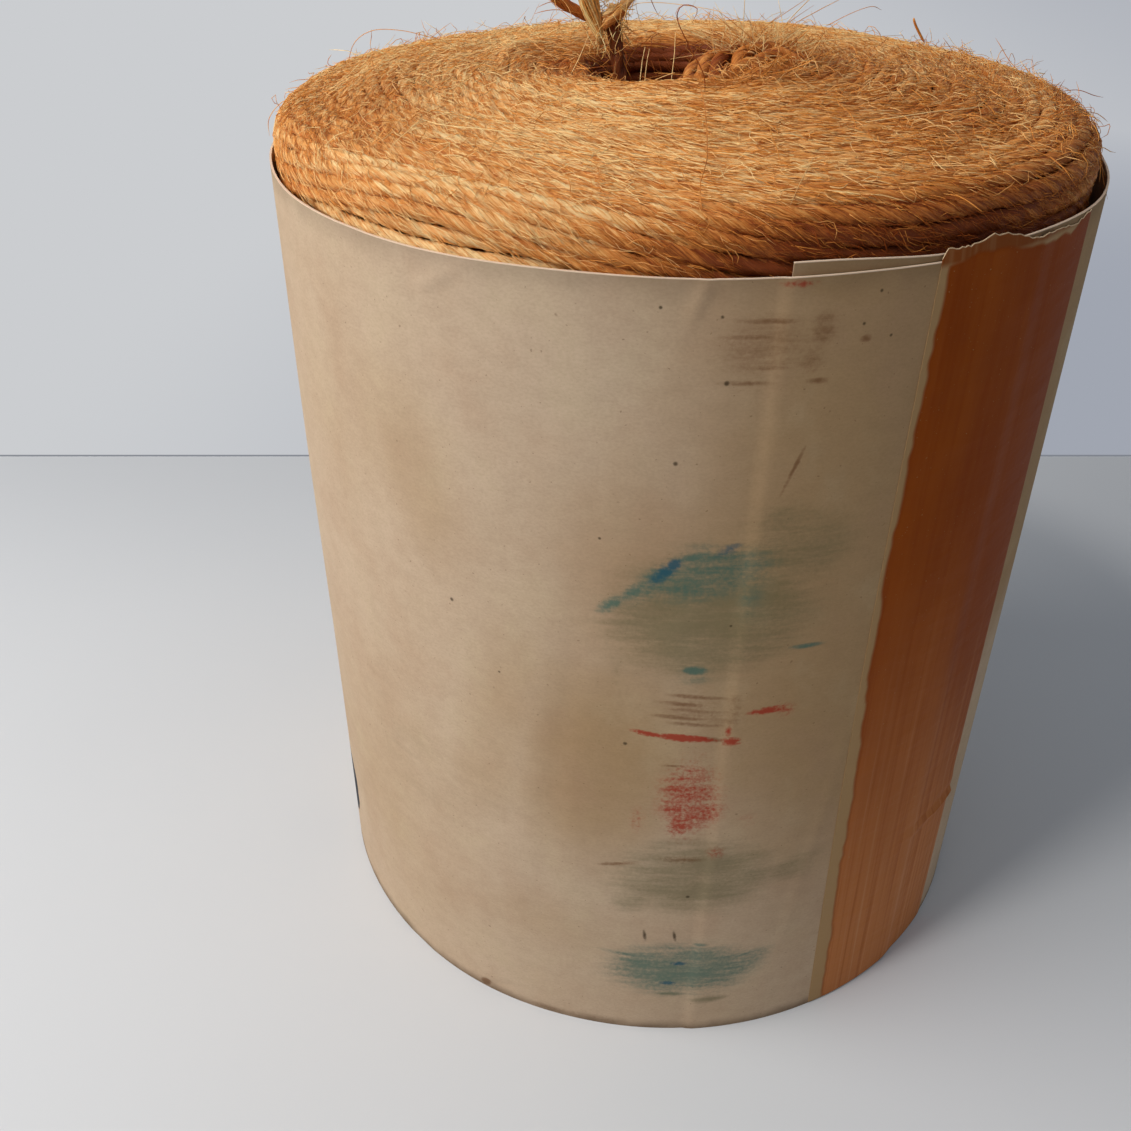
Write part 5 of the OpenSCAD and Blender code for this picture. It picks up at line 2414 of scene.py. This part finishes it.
@dataclass
class Studio:
    """Camera, lamps, floor and backdrop."""

    eye: tuple[float, float, float] = (-0.02809, -0.29897, 0.28811)
    pitch: float = 56.18
    lens: float = 37.75
    lamps: tuple[Lamp, ...] = (
        Lamp("window_lamp", (-0.807, -0.254, 0.713), 0.9, 8.7),
        Lamp("ceiling_lamp", (-0.63, -0.485, 1.39), 0.22, 4.5),
        Lamp("fill_lamp", (0.9, -0.5, 0.25), 0.9, 0.1, (1.0, 0.93, 0.82)),
    )
    target: tuple[float, float, float] = (0.0, 0.0, 0.12)
    sky: Colour = tint(200, 208, 219)
    seen_sky: Colour = tint(203, 205, 208)
    sky_strength: float = 0.42
    floor_size: float = 14.0
    ground: FloorFinish = FloorFinish(
        "pale_floor",
        floor=tint(219, 219, 219),
        wall=tint(203, 205, 208),
        wall_shade=tint(160, 165, 176),
        seam=tint(120, 124, 132),
        far_edge=0.231,
    )

    def camera(self) -> None:
        """Stands the camera in front of the ball, a little above it, looking down."""
        bpy.ops.object.camera_add(location=self.eye, rotation=(math.radians(self.pitch), 0, 0))
        camera = bpy.context.active_object
        camera.name = "camera"
        camera.data.lens = self.lens
        camera.data.sensor_width = 36.0
        camera.data.sensor_fit = "HORIZONTAL"
        camera.data.clip_start = 0.01
        camera.data.clip_end = 50.0
        bpy.context.scene.camera = camera
        LOG.info("camera: %.2f mm lens", self.lens)

    def light(self) -> None:
        """Hangs two soft lamps at the left and a weak warm one at the right, under a pale sky."""
        for lamp in self.lamps:
            lamp.hang(self.target)
        world = bpy.data.worlds.new("pale_sky")
        bpy.context.scene.world = world
        world.use_nodes = True
        nodes, links = world.node_tree.nodes, world.node_tree.links
        lit, seen = nodes["Background"], nodes.new("ShaderNodeBackground")
        lit.inputs["Color"].default_value = self.sky
        lit.inputs["Strength"].default_value = self.sky_strength
        seen.inputs["Color"].default_value = self.seen_sky
        path = nodes.new("ShaderNodeLightPath")
        switch = nodes.new("ShaderNodeMixShader")
        sources = (path.outputs["Is Camera Ray"], lit.outputs[0], seen.outputs[0])
        for socket, source in zip(switch.inputs, sources):
            links.new(source, socket)
        links.new(switch.outputs[0], nodes["World Output"].inputs["Surface"])

    def floor(self) -> None:
        """Lays the floor, which runs on as the backdrop."""
        select_none()
        bpy.ops.mesh.primitive_plane_add(size=self.floor_size)
        floor = bpy.context.active_object
        floor.name = floor.data.name = "floor"
        floor.data.materials.append(self.ground.make())


# ------------------------------------------------------------------------ main


@dataclass(frozen=True)
class Finishes:
    """Every finish on the object."""

    # Each twine's first colour is the painted shade on the strands' undersides and in their twist.
    twine: TwineFinish = TwineFinish(
        "twisted_twine", tint(132, 60, 20), tint(202, 118, 48), tint(228, 158, 84), tint(248, 210, 148)
    )
    # The hole's twine is painted dark: painted shade for the inside of the hole.
    shaded_hole_twine: TwineFinish = TwineFinish(
        "shaded_hole_twine", tint(48, 14, 4), tint(92, 38, 12), tint(136, 68, 24), tint(176, 104, 46)
    )
    dark_twine: TwineFinish = TwineFinish(
        "dark_twine", tint(84, 34, 10), tint(128, 62, 22), tint(172, 98, 42), tint(214, 150, 82)
    )
    fibre: FibreFinish = FibreFinish(
        "loose_fibre", tint(156, 74, 20), tint(232, 152, 68), tint(253, 218, 152)
    )
    frayed: FibreFinish = FibreFinish(
        "frayed_fibre", tint(204, 124, 52), tint(248, 188, 104), tint(255, 234, 168)
    )
    packed: PackedFinish = PackedFinish("packed_twine", tint(150, 74, 26), tint(190, 110, 48))
    # The paper's second colour is its ageing tint, laid on partly as painted shade.
    paper: PaperFinish = PaperFinish(
        "wrapping_paper", tint(197, 172, 145), tint(170, 138, 99), tint(112, 86, 58), tint(84, 62, 42), 0.214
    )
    tape: TapeFinish = TapeFinish(
        "brown_tape",
        tint(152, 74, 17),
        tint(136, 60, 12),
        tint(192, 122, 70),
        tint(170, 136, 94),
        tint(224, 192, 152),
        tint(132, 70, 30),
    )


def main() -> None:
    """Builds the pieces in order."""
    logging.basicConfig(level=logging.INFO, format="%(name)s: %(message)s")
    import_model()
    bpy.context.scene.view_settings.view_transform = "Standard"
    finishes = Finishes()
    studio = Studio()
    studio.camera()
    fibre = finishes.fibre.make()
    twine = finishes.twine.make()
    PullEnd(finishes.dark_twine.make(), twine, fibre, finishes.frayed.make()).build()
    ball = WoundBall(twine, finishes.shaded_hole_twine.make(), finishes.packed.make())
    ball.build()
    LooseFibres(fibre, ball).build()
    sleeve = PaperSleeve(finishes.paper)
    sleeve.build()
    PackingTape(finishes.tape.make(), sleeve).build()
    studio.light()
    studio.floor()


if __name__ == "__main__":
    main()
